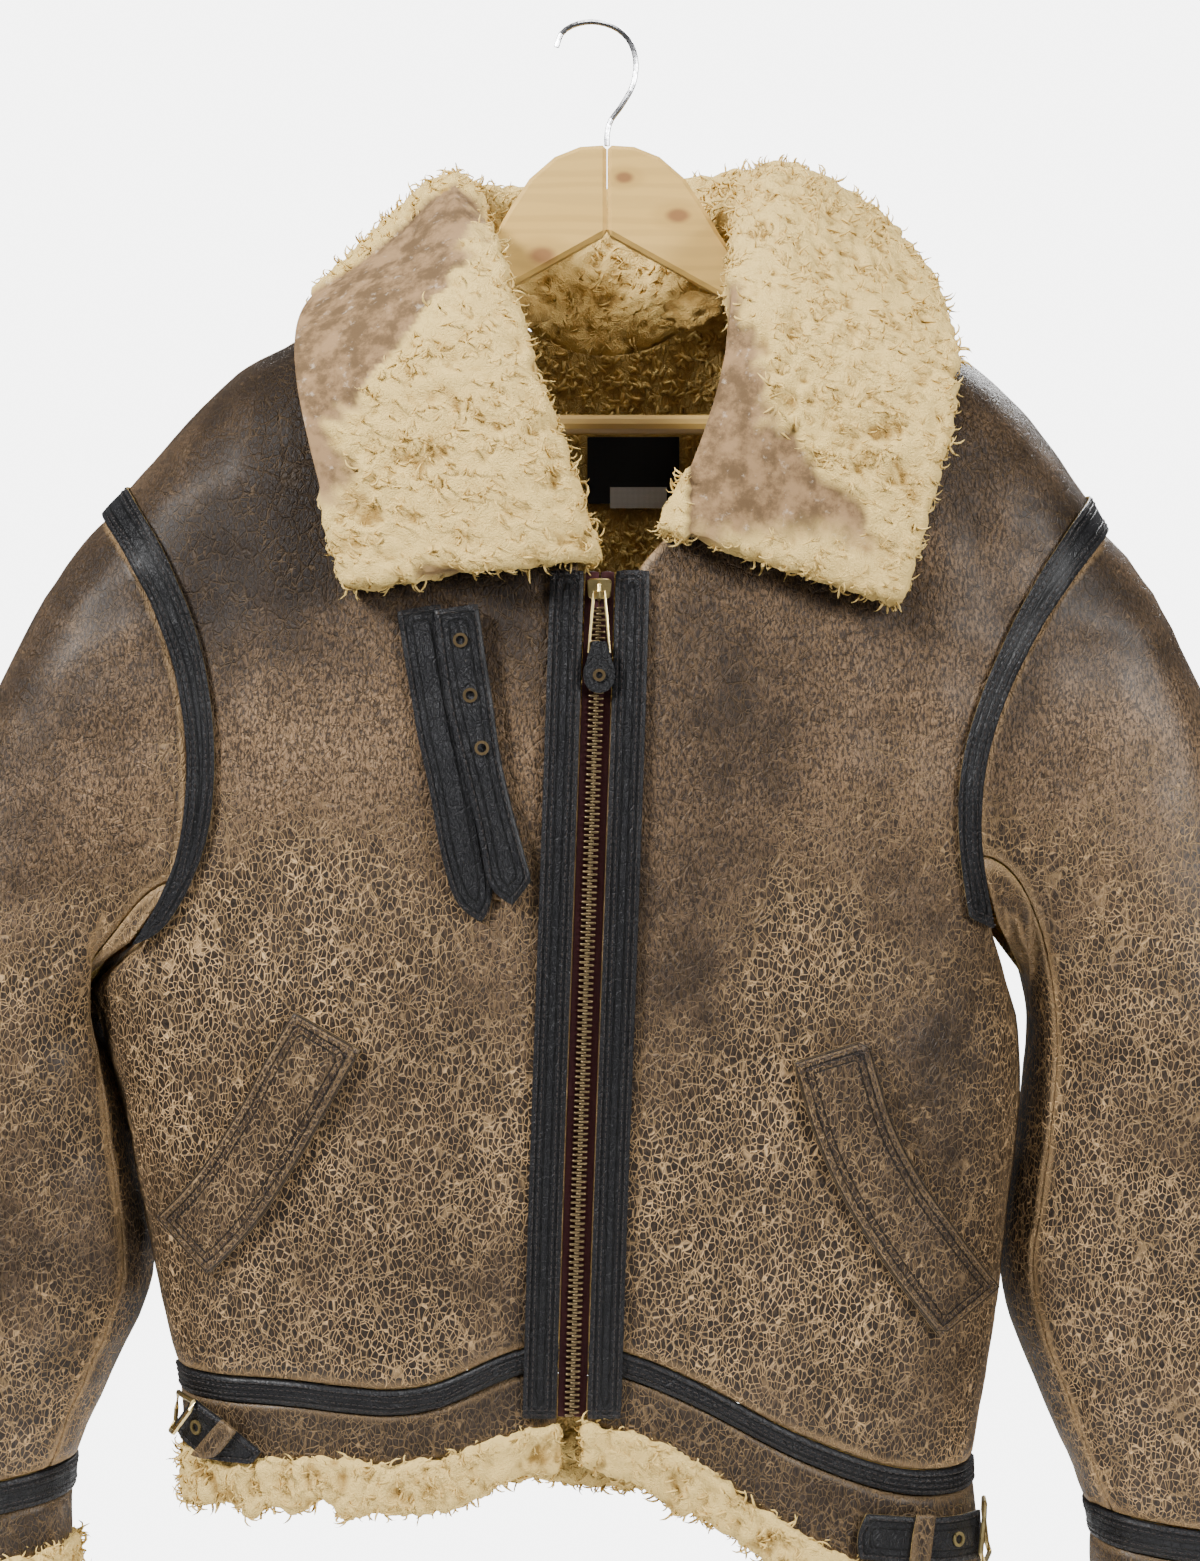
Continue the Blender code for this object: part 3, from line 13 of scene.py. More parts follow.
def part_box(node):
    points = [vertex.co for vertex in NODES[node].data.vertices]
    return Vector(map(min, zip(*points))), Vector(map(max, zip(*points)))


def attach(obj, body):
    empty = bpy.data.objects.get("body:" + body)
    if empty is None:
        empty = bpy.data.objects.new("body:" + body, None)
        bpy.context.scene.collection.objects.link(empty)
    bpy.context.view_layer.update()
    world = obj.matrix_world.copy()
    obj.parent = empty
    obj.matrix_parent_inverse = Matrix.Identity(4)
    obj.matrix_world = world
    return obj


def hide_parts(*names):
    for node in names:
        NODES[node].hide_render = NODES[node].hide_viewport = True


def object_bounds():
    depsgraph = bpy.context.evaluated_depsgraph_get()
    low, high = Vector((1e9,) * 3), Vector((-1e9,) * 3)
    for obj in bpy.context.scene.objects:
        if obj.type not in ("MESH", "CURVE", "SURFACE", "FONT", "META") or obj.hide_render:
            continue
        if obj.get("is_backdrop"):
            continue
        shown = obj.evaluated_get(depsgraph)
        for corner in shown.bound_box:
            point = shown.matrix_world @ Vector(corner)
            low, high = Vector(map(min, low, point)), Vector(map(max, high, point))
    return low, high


bl_info = {
    "name": "Sheepskin Flying Jacket",
    "version": (1, 0, 0),
    "blender": (4, 5, 0),
    "location": "View3D > Sidebar > Jacket",
    "description": "Leather, wool, stitches and fittings of a flying jacket on its hanger",
    "category": "Add Mesh",
}

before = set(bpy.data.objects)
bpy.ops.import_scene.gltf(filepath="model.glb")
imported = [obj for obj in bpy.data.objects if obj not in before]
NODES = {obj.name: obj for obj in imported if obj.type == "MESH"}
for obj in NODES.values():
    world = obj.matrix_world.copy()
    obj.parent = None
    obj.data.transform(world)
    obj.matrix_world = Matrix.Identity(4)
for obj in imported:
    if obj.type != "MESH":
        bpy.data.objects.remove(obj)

VIEW_POINT = (-0.0042, -1.80, -0.4468)
VIEW_ANGLE = 28.83
FLOOR_DROP = 0.16
FLOOR_RADIUS = 0.80
FLOOR_THICK = 0.02
SURROUND_RADIUS = 9.0
SURROUND_GLOW = 6.0
WORLD_GLOW = 0.17
# Name, place, height that it faces, side of the lamp and power of each soft light.
LIGHTS = (("Key", (-1.9, -1.4, 1.0), -0.45, 0.6, 165), ("Fill", (1.9, -1.7, 0.3), -0.5, 0.8, 85),
          ("Top", (0.1, -0.7, 1.6), -0.4, 0.8, 26), ("Back", (0.7, 2.2, 1.1), -0.45, 1.0, 75))

SEED = 11
HARD_ANGLE = radians(50)
RIM_ANGLE = radians(38)
RIM_REACH = 0.006
SHORTEST_EDGE = 0.006
WOOL_LUMP = 0.0044
LOCK_WIDTH = 0.075
NECK_LOCK_WIDTH = 0.17
HEM_CURLS = 3700
CUFF_CURLS = 2000
NECK_CURLS = 4800
NECK_TUFT = (0.0564, 0.040, -0.1630)
NECK_TUFT_SIZE = (0.021, 0.010, 0.011)
# Distances in millimetres from a piece's edge to the grooves of its seams, which are also darkened
# with painted shade.
STRIP_GROOVES = (3.0, 7.0)
WELT_GROOVES = (0.6, 5.0, 9.0)
# Distances in metres from a piece's edge to its rows of stitches.
STRIP_STITCHES = (0.0024, 0.0052)
STRAP_STITCHES = (0.0026,)
WELT_STITCHES = (0.0028, 0.0068)
STITCH_THICK = 0.0008
TOOTH_SIDE = 0.0014
TOOTH_BACK = 0.0011
TOOTH_SIZE = (0.0058, 0.0028, 0.40)

HIDE_PANELS = ("front_left", "front_right", "back", "sleeve_left_upper", "sleeve_left_under",
               "sleeve_right_upper", "sleeve_right_under")
DARK_PANELS = ("hem_band_left", "hem_band_right", "hem_band_back", "cuff_left_panel",
               "cuff_right_panel", "pocket_welt_left", "pocket_welt_right",
               "side_keeper_left", "side_keeper_right")
POCKET_WELTS = ("pocket_welt_left", "pocket_welt_right")
BLACK_STRIPS = ("waist_strip_left", "waist_strip_right", "waist_strip_back",
                "armhole_strip_left", "armhole_strip_right", "cuff_left_strip",
                "cuff_right_strip", "zip_strip_left", "zip_strip_right")
BLACK_STRAPS = ("collar_strap_back", "collar_strap_front", "side_strap_left",
                "side_strap_right")
WOOL_EDGES = ("hem_fur_left", "hem_fur_right", "hem_fur_back", "cuff_left_fur",
              "cuff_right_fur")
GOLD_METAL = ("slider", "slider_bridge", "pull_frame", "side_eyelet_left", "side_eyelet_right",
              "side_buckle_left", "side_buckle_right")
BRASS_METAL = ("collar_eyelet_1", "collar_eyelet_2", "collar_eyelet_3", "pull_eyelet")
# X, height and size of the hanger's knots.
KNOTS = ((-0.0384, -0.1365, 0.0070), (0.0100, -0.0905, 0.0045), (0.0420, -0.1130, 0.0058))
# Height, and x of the line where a wing's wool begins.
BARE_LEFT = ((-0.360, -0.175), (-0.289, -0.1545), (-0.2326, -0.1405), (-0.1667, -0.0887),
             (-0.100, -0.070))
BARE_RIGHT = ((-0.330, 0.168), (-0.300, 0.148), (-0.279, 0.125), (-0.2326, 0.088),
              (-0.195, 0.078), (-0.150, 0.064))
# The shaped form of each node, made once.
FORMS = {}


class JacketHide(bpy.types.PropertyGroup):
    """Colours and grain of the leather"""
    brown: FloatVectorProperty(name="Brown", description="Main colour of the worn hide", size=4,
                               subtype="COLOR", min=0, max=1, default=(0.118, 0.072, 0.037, 1))
    # The dark colour also serves as painted shade at the hide's top and in its seam grooves.
    dark: FloatVectorProperty(name="Dark", description="Colour in the hide's creases", size=4,
                              subtype="COLOR", min=0, max=1, default=(0.0050, 0.0025, 0.0012, 1))
    tan: FloatVectorProperty(name="Tan", description="Rubbed colour of ridges and seams", size=4,
                             subtype="COLOR", min=0, max=1, default=(0.640, 0.410, 0.195, 1))
    black: FloatVectorProperty(name="Black", description="Colour of the strips and straps", size=4,
                               subtype="COLOR", min=0, max=1, default=(0.003, 0.003, 0.0035, 1))
    grain: FloatProperty(name="Grain", description="Size of one cell of the crackle", unit="LENGTH",
                         min=0.001, max=0.02, default=0.0030)
    crease: FloatProperty(name="Crease", description="Depth of the soft wrinkles", unit="LENGTH",
                          min=0.0, max=0.01, default=0.0044)


class JacketWool(bpy.types.PropertyGroup):
    """Colours and curls of the wool"""
    cream: FloatVectorProperty(name="Cream", description="Colour of the curls' tips", size=4,
                               subtype="COLOR", min=0, max=1, default=(0.700, 0.500, 0.175, 1))
    # The darker gold is painted shade deep in the wool's pile; cream is the wool's own lit colour.
    shaded_golden: FloatVectorProperty(name="Golden", description="Colour at the roots", size=4,
                                subtype="COLOR", min=0, max=1, default=(0.330, 0.200, 0.055, 1))
    suede: FloatVectorProperty(name="Suede", description="Bare skin where the wool is worn off",
                               size=4, subtype="COLOR", min=0, max=1,
                               default=(0.190, 0.118, 0.060, 1))
    curl: FloatProperty(name="Curl", description="Length of one curl of wool", unit="LENGTH",
                        min=0.003, max=0.04, default=0.0090)
    collar_curls: IntProperty(name="Collar curls", description="Number of curls on the collar",
                              min=10, max=8000, default=6800)


class JacketTrim(bpy.types.PropertyGroup):
    """Stitches, zip and hanger"""
    stitch: FloatProperty(name="Stitch", description="Length of one stitch", unit="LENGTH",
                          min=0.001, max=0.01, default=0.0029)
    tooth_pitch: FloatProperty(name="Tooth pitch", description="Distance between the zip's teeth",
                               unit="LENGTH", min=0.001, max=0.01, default=0.0034)
    wood: FloatVectorProperty(name="Wood", description="Colour of the hanger", size=4,
                              subtype="COLOR", min=0, max=1, default=(0.560, 0.345, 0.090, 1))
    tape: FloatVectorProperty(name="Tape", description="Colour of the zip's tape", size=4,
                              subtype="COLOR", min=0, max=1, default=(0.085, 0.018, 0.022, 1))


def smooth_step(low, high, value):
    """0 below low, 1 above high, and a soft turn between them."""
    t = min(1.0, max(0.0, (value - low) / (high - low)))
    return t * t * (3.0 - 2.0 * t)


def wrinkle(p):
    """Soft creases of the whole jacket at a point, from -1 to 1; every layer there moves alike."""
    side = -1.0 if p.y < 0 else 1.0
    warp = noise.noise(Vector((p.x * 7.0, p.z * 7.0, side * 3.0))) * 0.5
    long = noise.noise(Vector((p.x * 24.0 + warp, p.z * 6.0, side * 2.0)))
    cross = noise.noise(Vector((p.x * 15.0 + p.z * 12.0, p.z * 26.0 - p.x * 9.0 + warp, side)))
    fine = noise.noise(Vector((p.x * 60.0, p.z * 42.0, side * 5.0)))
    arm = smooth_step(0.235, 0.300, abs(p.x)) * smooth_step(-0.28, -0.40, p.z)
    ridge = 1.0 - 2.0 * abs(cross)
    quiet = smooth_step(0.0, 0.05, abs(p.x + 0.008)) if p.y < 0 else 1.0
    return (0.55 * long * (1.0 - arm) + (0.22 + 0.45 * arm) * ridge * 0.7 + 0.22 * fine) * quiet


def merged(name):
    """A merged bmesh copy of a CAD node, with quads where they fit and its hard edges creased."""
    made = bmesh.new()
    made.from_mesh(NODES[name].data)
    bmesh.ops.remove_doubles(made, verts=made.verts, dist=0.00003)
    bmesh.ops.join_triangles(made, faces=made.faces, cmp_seam=False, cmp_sharp=False,
                             cmp_uvs=False, cmp_vcols=False, cmp_materials=False,
                             angle_face_threshold=radians(35), angle_shape_threshold=HARD_ANGLE)
    crease = made.edges.layers.float.new("crease_edge")
    for edge in made.edges:
        if len(edge.link_faces) != 2 or edge.calc_face_angle(0.0) > HARD_ANGLE:
            edge[crease] = 0.85
    return made


def mesh_of(made, name):
    """A mesh from a bmesh, which is then freed."""
    mesh = bpy.data.meshes.new(name)
    made.to_mesh(mesh)
    made.free()
    return mesh


def linked(name, data):
    """An object in the scene's collection."""
    piece = bpy.data.objects.new(name, data)
    bpy.context.scene.collection.objects.link(piece)
    return piece


def placed(name, mesh, material, slot, *nodes, body="jacket"):
    """A finished piece in the scene, riding on its body in place of its CAD nodes."""
    piece = linked(name, mesh)
    mesh.materials.clear()
    mesh.materials.append(material)
    mesh.shade_smooth()
    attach(piece, body)
    if nodes:
        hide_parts(*nodes)
    return piece


def refined(name, levels):
    """A subdivided mesh of a CAD node."""
    work = linked("work_" + name, mesh_of(merged(name), "work_" + name))
    finer = work.modifiers.new("Finer", "SUBSURF")
    finer.levels = finer.render_levels = levels
    graph = bpy.context.evaluated_depsgraph_get()
    fine = bpy.data.meshes.new_from_object(work.evaluated_get(graph))
    bpy.data.objects.remove(work)
    fine.name = name + "_form"
    return fine


def edge_distance(mesh, most):
    """For each point, how far it is from the piece's hard edges, in metres up to the most."""
    made = bmesh.new()
    made.from_mesh(mesh)
    rims = [e.verts[0].co.lerp(e.verts[1].co, k / 4) for e in made.edges
            if e.calc_face_angle(0.0) > RIM_ANGLE for k in range(5)]
    made.free()
    if not rims:
        return np.full(len(mesh.vertices), most)
    tree = KDTree(len(rims))
    for i, rim in enumerate(rims):
        tree.insert(rim, i)
    tree.balance()
    return np.array([min(most, tree.find(v.co)[2]) for v in mesh.vertices])


def mark(mesh, name, values):
    """Stores a number for each point of a mesh."""
    layer = mesh.attributes.new(name, "FLOAT", "POINT")
    layer.data.foreach_set("value", np.asarray(values, dtype=np.float32))


def sleeve_middle(name):
    """Middle of a sleeve at a height, from the boxes of its two panels' points."""
    side = "left" if "left" in name else "right"
    points = [v.co for part in ("upper", "under")
              for v in NODES["sleeve_%s_%s" % (side, part)].data.vertices]
    table = []
    for k in range(16):
        z = -0.20 - 0.045 * k
        near = [p for p in points if abs(p.z - z) < 0.035]
        if near:
            table.append((z, 0.5 * (min(p.x for p in near) + max(p.x for p in near)),
                          0.5 * (min(p.y for p in near) + max(p.y for p in near))))
    return table


def outward_at(name, p, middles):
    """Direction away from the hollow that a wall goes round."""
    if middles:
        z, x, y = min(middles, key=lambda row: abs(row[0] - p.z))
        return Vector(((p.x - x) / 0.058, (p.y - y) / 0.045, 0.0)).normalized()
    if "cuff" in name:
        low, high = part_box(name)
        x, y = 0.5 * (low[0] + high[0]), 0.5 * (low[1] + high[1])
        return Vector((p.x - x, p.y - y, 0.0)).normalized()
    if abs(p.y) < 1e-5:
        return Vector((1.0 if p.x > 0 else -1.0, 0.0, 0.0))
    return Vector((p.x / 0.084, p.y / 0.0081, 0.0)).normalized()


def shaped(name, levels, depth):
    """A CAD node's form, finer and creased, with its rubbed places and inner side marked."""
    mesh = refined(name, levels)
    if not depth:
        return mesh
    middles = sleeve_middle(name) if name.startswith("sleeve") else None
    normals = [v.normal.copy() for v in mesh.vertices]
    rub = []
    inside = []
    for vertex, normal in zip(mesh.vertices, normals):
        lift = wrinkle(vertex.co)
        out = outward_at(name, vertex.co, middles)
        inside.append(1.0 if normal.dot(out) < -0.15 else 0.0)
        rub.append(0.5 + 0.5 * lift)
        vertex.co += out * lift * depth
    mark(mesh, "rub", rub)
    mark(mesh, "inside", inside)
    apart = edge_distance(mesh, 0.03)
    mark(mesh, "rim", np.exp(-(apart / RIM_REACH) ** 1.5))
    mark(mesh, "edge", 1000.0 * apart)
    return mesh


def form_of(name, levels, depth):
    """The shaped form of a node, made once."""
    if name not in FORMS:
        FORMS[name] = shaped(name, levels, depth)
    return FORMS[name]


def lumpy(mesh, depth, bare):
    """Raises the wool of a form in soft lumps, and marks how high each point lies."""
    height = []
    moved = []
    for vertex, worn in zip(mesh.vertices, bare):
        p = vertex.co
        big = 1.0 - 2.2 * abs(noise.noise(p * 62.0 + Vector((3, 1, 7))))
        small = 1.0 - 2.2 * abs(noise.noise(p * 150.0))
        value = 0.55 * big + 0.45 * small
        height.append(0.5 + 0.5 * value)
        moved.append(p + vertex.normal * (value * depth * (1.0 - worn) - 0.0012 * worn))
    for vertex, place in zip(mesh.vertices, moved):
        vertex.co = place
    mark(mesh, "lump", height)
    mark(mesh, "bare", bare)


def arrays_of(made):
    """Points and triangles of a small bmesh, which is then freed."""
    bmesh.ops.triangulate(made, faces=made.faces)
    made.verts.index_update()
    points = np.array([v.co[:] for v in made.verts])
    faces = np.array([[v.index for v in f.verts] for f in made.faces])
    made.free()
    return points, faces


def curl_shape(bend, twist, thick, rings=4):
    """One curl of wool: a soft lock that swells, leans over and turns in at its blunt tip."""
    made = bmesh.new()
    bmesh.ops.create_circle(made, segments=3, radius=thick)
    edges = list(made.edges)
    along = {v: 0.0 for v in made.verts}
    for k in range(1, rings + 1):
        new = bmesh.ops.extrude_edge_only(made, edges=edges)["geom"]
        ring = [g for g in new if isinstance(g, bmesh.types.BMVert)]
        edges = [g for g in new if isinstance(g, bmesh.types.BMEdge)
                 and all(v in ring for v in g.verts)]
        middle = sum((v.co for v in ring), Vector()) / len(ring)
        size = (1.0, 1.08, 1.02, 0.80, 0.34)[k] / (1.0, 1.0, 1.08, 1.02, 0.80)[k]
        bmesh.ops.scale(made, verts=ring, vec=(size, size, size), space=Matrix.Translation(-middle))
        turn = Matrix.Rotation(bend, 3, "Y") @ Matrix.Rotation(twist, 3, "Z")
        bmesh.ops.rotate(made, verts=ring, cent=middle, matrix=turn)
        step = Matrix.Rotation(bend * k, 3, "Y") @ Matrix.Rotation(twist * k, 3, "Z") @ Vector(
            (0.05, 0.0, 1.0 / rings))
        bmesh.ops.translate(made, verts=ring, vec=step)
        for v in ring:
            along[v] = k / rings
    bmesh.ops.contextual_create(made, geom=edges)
    bmesh.ops.recalc_face_normals(made, faces=made.faces)
    height = np.array([along[v] for v in made.verts])
    return *arrays_of(made), height


def anywhere(p, n):
    return True


def repeated(name, shapes, picks, turns, places, tints):
    """One mesh of many copies of small shapes, each with its turn, size and place."""
    all_points = []
    all_faces = []
    all_height = []
    all_tint = []
    start = 0
    for k, (points, faces, height) in enumerate(shapes):
        chosen = np.nonzero(picks == k)[0]
        if not len(chosen):
            continue
        moved = np.einsum("nij,vj->nvi", turns[chosen], points) + places[chosen][:, None, :]
        all_points.append(moved.reshape(-1, 3))
        shift = start + np.arange(len(chosen))[:, None, None] * len(points)
        all_faces.append((faces[None] + shift).reshape(-1, faces.shape[1]))
        all_height.append(np.tile(height, len(chosen)))
        all_tint.append(np.repeat(tints[chosen], len(points)))
        start += len(chosen) * len(points)
    mesh = bpy.data.meshes.new(name)
    mesh.from_pydata(np.concatenate(all_points).tolist(), [], np.concatenate(all_faces).tolist())
    mark(mesh, "along", np.concatenate(all_height))
    mark(mesh, "tint", np.concatenate(all_tint))
    return mesh


def surface_spots(meshes, count, seed, wanted):
    """Places and normals spread over the wanted parts of some meshes, evenly by area."""
    corners = []
    for mesh in meshes:
        mesh.calc_loop_triangles()
        points = np.empty(len(mesh.vertices) * 3)
        mesh.vertices.foreach_get("co", points)
        index = np.empty(len(mesh.loop_triangles) * 3, dtype=np.int32)
        mesh.loop_triangles.foreach_get("vertices", index)
        corners.append(points.reshape(-1, 3)[index.reshape(-1, 3)])
    corners = np.concatenate(corners)
    cross = np.cross(corners[:, 1] - corners[:, 0], corners[:, 2] - corners[:, 0])
    area = 0.5 * np.linalg.norm(cross, axis=1)
    normals = cross / np.maximum(2.0 * area, 1e-12)[:, None]
    middles = corners.mean(axis=1)
    keep = np.array([wanted(Vector(m), Vector(n)) for m, n in zip(middles, normals)])
    share = area * keep
    chance = np.random.RandomState(seed)
    picked = chance.choice(len(share), size=count, p=share / share.sum())
    a = chance.rand(count)
    b = chance.rand(count)
    over = a + b > 1
    a[over], b[over] = 1 - a[over], 1 - b[over]
    tri = corners[picked]
    spots = tri[:, 0] + a[:, None] * (tri[:, 1] - tri[:, 0]) + b[:, None] * (tri[:, 2] - tri[:, 0])
    return spots, normals[picked], chance


def wool_mesh(name, meshes, count, length, thick, seed, wanted, lean=0.7, sink=0.12):
    """Curls of wool standing on meshes, leaning down and swirling in soft tufts."""
    spots, normals, chance = surface_spots(meshes, count, seed, wanted)
    shapes = [curl_shape(*k, thick) for k in ((0.45, 0.5), (0.62, -0.6), (0.80, 0.9), (0.36, 1.2))]
    picks = chance.randint(0, len(shapes), count)
    turns = np.empty((count, 3, 3))
    for k in range(count):
        p = Vector(spots[k]) * 42.0
        swirl = Vector((noise.noise(p), noise.noise(p + Vector((9, 3, 7))),
                        noise.noise(p + Vector((5, 8, 1))) - 0.35)) * lean * 1.6
        n = Vector(normals[k])
        up = (n + swirl + Vector(chance.normal(0, 0.22, 3))).normalized()
        if up.dot(n) < 0.22:
            up = (up + n * 0.6).normalized()
        spin = Matrix.Rotation(chance.rand() * 2 * pi, 3, "Z")
        turn = up.to_track_quat("Z", "Y").to_matrix() @ spin
        size = length * (0.62 + 0.65 * chance.rand())
        turns[k] = np.array(turn) * size
    places = spots - normals * length * sink
    return repeated(name, shapes, picks, turns, places, chance.rand(count))


def add_node(tree, kind, values=(), **settings):
    """A shader node whose inputs, given by name or number, are set or linked."""
    made = tree.nodes.new("ShaderNode" + kind)
    for key, value in settings.items():
        setattr(made, key, value)
    for key, value in dict(values).items():
        if isinstance(value, bpy.types.NodeSocket):
            tree.links.new(value, made.inputs[key])
        else:
            made.inputs[key].default_value = value
    return made


def math(tree, operation, a, b=0.0):
    return add_node(tree, "Math", {0: a, 1: b}, operation=operation).outputs[0]


def plus(tree, a, b):
    return math(tree, "ADD", a, b)


def less(tree, a, b):
    return math(tree, "SUBTRACT", a, b)


def times(tree, a, b):
    return math(tree, "MULTIPLY", a, b)


def summed(tree, start, *parts):
    """A start value plus each further value times its share."""
    for value, share in parts:
        start = plus(tree, start, times(tree, value, share))
    return start


def scaled(colour, share):
    """A colour made lighter or darker."""
    return [share * c for c in colour[:3]] + [1]


def mix(tree, share, a, b):
    return add_node(tree, "Mix", {0: share, 6: a, 7: b}, data_type="RGBA").outputs[2]


def ranged(tree, value, low, high, to_low=0.0, to_high=1.0):
    """Maps a range of a value softly to another."""
    made = add_node(tree, "MapRange", {0: value, 1: low, 2: high, 3: to_low, 4: to_high},
                    interpolation_type="SMOOTHSTEP")
    return made.outputs[0]


def attribute(tree, name):
    return add_node(tree, "Attribute", attribute_name=name).outputs["Fac"]


def object_place(tree):
    return add_node(tree, "TexCoord").outputs["Object"]


def noise_value(tree, place, scale, detail=3.0, rough=0.55):
    made = add_node(tree, "TexNoise", {"Vector": place, "Scale": scale, "Detail": detail,
                                       "Roughness": rough})
    return made.outputs["Fac"]


def new_group(name, setting, outputs):
    """An empty shader node group that reads a place and one setting, and gives some values."""
    group = bpy.data.node_groups.new(name, "ShaderNodeTree")
    group.interface.new_socket(name="Place", in_out="INPUT", socket_type="NodeSocketVector")
    group.interface.new_socket(name=setting, in_out="INPUT", socket_type="NodeSocketFloat")
    for key in outputs:
        group.interface.new_socket(name=key, in_out="OUTPUT", socket_type="NodeSocketFloat")
    return group, group.nodes.new("NodeGroupInput"), group.nodes.new("NodeGroupOutput")


def crackle_group():
    """Cells of grained hide: how deep in a crease a point is, its height and the hide's patches."""
    if "Hide crackle" in bpy.data.node_groups:
        return bpy.data.node_groups["Hide crackle"]
    group, into, out = new_group("Hide crackle", "Cells", ("Ridge", "Height", "Patch", "Scuff"))
    place = into.outputs["Place"]
    warp = add_node(group, "TexNoise", {"Vector": place, "Scale": 60.0, "Detail": 2.0})
    shift = add_node(group, "VectorMath", {0: warp.outputs["Color"], 1: (0.5, 0.5, 0.5)},
                     operation="SUBTRACT").outputs[0]
    shift = add_node(group, "VectorMath", {0: shift, 3: 0.006}, operation="SCALE").outputs[0]
    bent = add_node(group, "VectorMath", {0: place, 1: shift}, operation="ADD").outputs[0]
    long = add_node(group, "Mapping", {"Vector": bent, "Scale": (1.0, 1.0, 0.62)}).outputs[0]
    cell = add_node(group, "TexVoronoi", {"Vector": long, "Scale": into.outputs["Cells"]},
                    feature="DISTANCE_TO_EDGE").outputs["Distance"]
    coarse = times(group, into.outputs["Cells"], 0.36)
    wide = add_node(group, "TexVoronoi", {"Vector": long, "Scale": coarse},
                    feature="DISTANCE_TO_EDGE").outputs["Distance"]
    small = ranged(group, cell, 0.010, 0.085)
    large = ranged(group, wide, 0.0, 0.06)
    fine = noise_value(group, place, 900.0, 2.0)
    height = summed(group, times(group, small, 0.7), (large, 0.5), (fine, 0.25))
    patch = noise_value(group, place, 6.5, 6.0, 0.62)
    scuff = noise_value(group, long, 48.0, 5.0, 0.7)
    ridge = times(group, small, ranged(group, wide, 0.0, 0.06, 0.45, 1.0))
    for key, value in (("Ridge", ridge), ("Height", height), ("Patch", patch), ("Scuff", scuff)):
        group.links.new(value, out.inputs[key])
    return group


def weave_group():
    """Crossing threads of a tape or a label."""
    if "Cloth weave" in bpy.data.node_groups:
        return bpy.data.node_groups["Cloth weave"]
    group, into, out = new_group("Cloth weave", "Threads", ("Height", "Tone"))
    place = into.outputs["Place"]
    quarter = (0.0, radians(90), 0.0)
    turned = add_node(group, "Mapping", {"Vector": place, "Rotation": quarter}).outputs[0]
    waves = [add_node(group, "TexWave", {"Vector": v, "Scale": into.outputs["Threads"],
                                         "Distortion": 0.4}).outputs["Fac"]
             for v in (place, turned)]
    group.links.new(times(group, *waves), out.inputs["Height"])
    group.links.new(noise_value(group, place, 300.0, 3.0), out.inputs["Tone"])
    return group


def fibre_group():
    """Wool: a fine fuzz for the bump, and slow changes of tone."""
    if "Wool fibre" in bpy.data.node_groups:
        return bpy.data.node_groups["Wool fibre"]
    group, into, out = new_group("Wool fibre", "Scale", ("Height", "Tone", "Patch"))
    place = into.outputs["Place"]
    long = add_node(group, "Mapping", {"Vector": place, "Scale": (1.0, 1.0, 0.35)}).outputs[0]
    fine = add_node(group, "TexNoise", {"Vector": long, "Scale": into.outputs["Scale"],
                                        "Detail": 3.0, "Distortion": 1.2}).outputs["Fac"]
    group.links.new(fine, out.inputs["Height"])
    group.links.new(noise_value(group, place, 110.0, 3.0), out.inputs["Tone"])
    group.links.new(noise_value(group, place, 11.0, 3.0), out.inputs["Patch"])
    return group


def new_material(name):
    """A material with its shader, and the place on the object that patterns read."""
    made = bpy.data.materials.new(name)
    made.use_nodes = True
    tree = made.node_tree
    return made, tree, tree.nodes["Principled BSDF"], object_place(tree)


def feed(tree, shader, **values):
    """Links or sets a shader's inputs by name, with underscores for spaces."""
    for key, value in values.items():
        entry = shader.inputs[key.replace("_", " ")]
        if isinstance(value, bpy.types.NodeSocket):
            tree.links.new(value, entry)
        else:
            entry.default_value = value


def bumped(tree, shader, height, strength, distance):
    relief = add_node(tree, "Bump", {"Height": height, "Strength": strength, "Distance": distance})
    tree.links.new(relief.outputs[0], shader.inputs["Normal"])


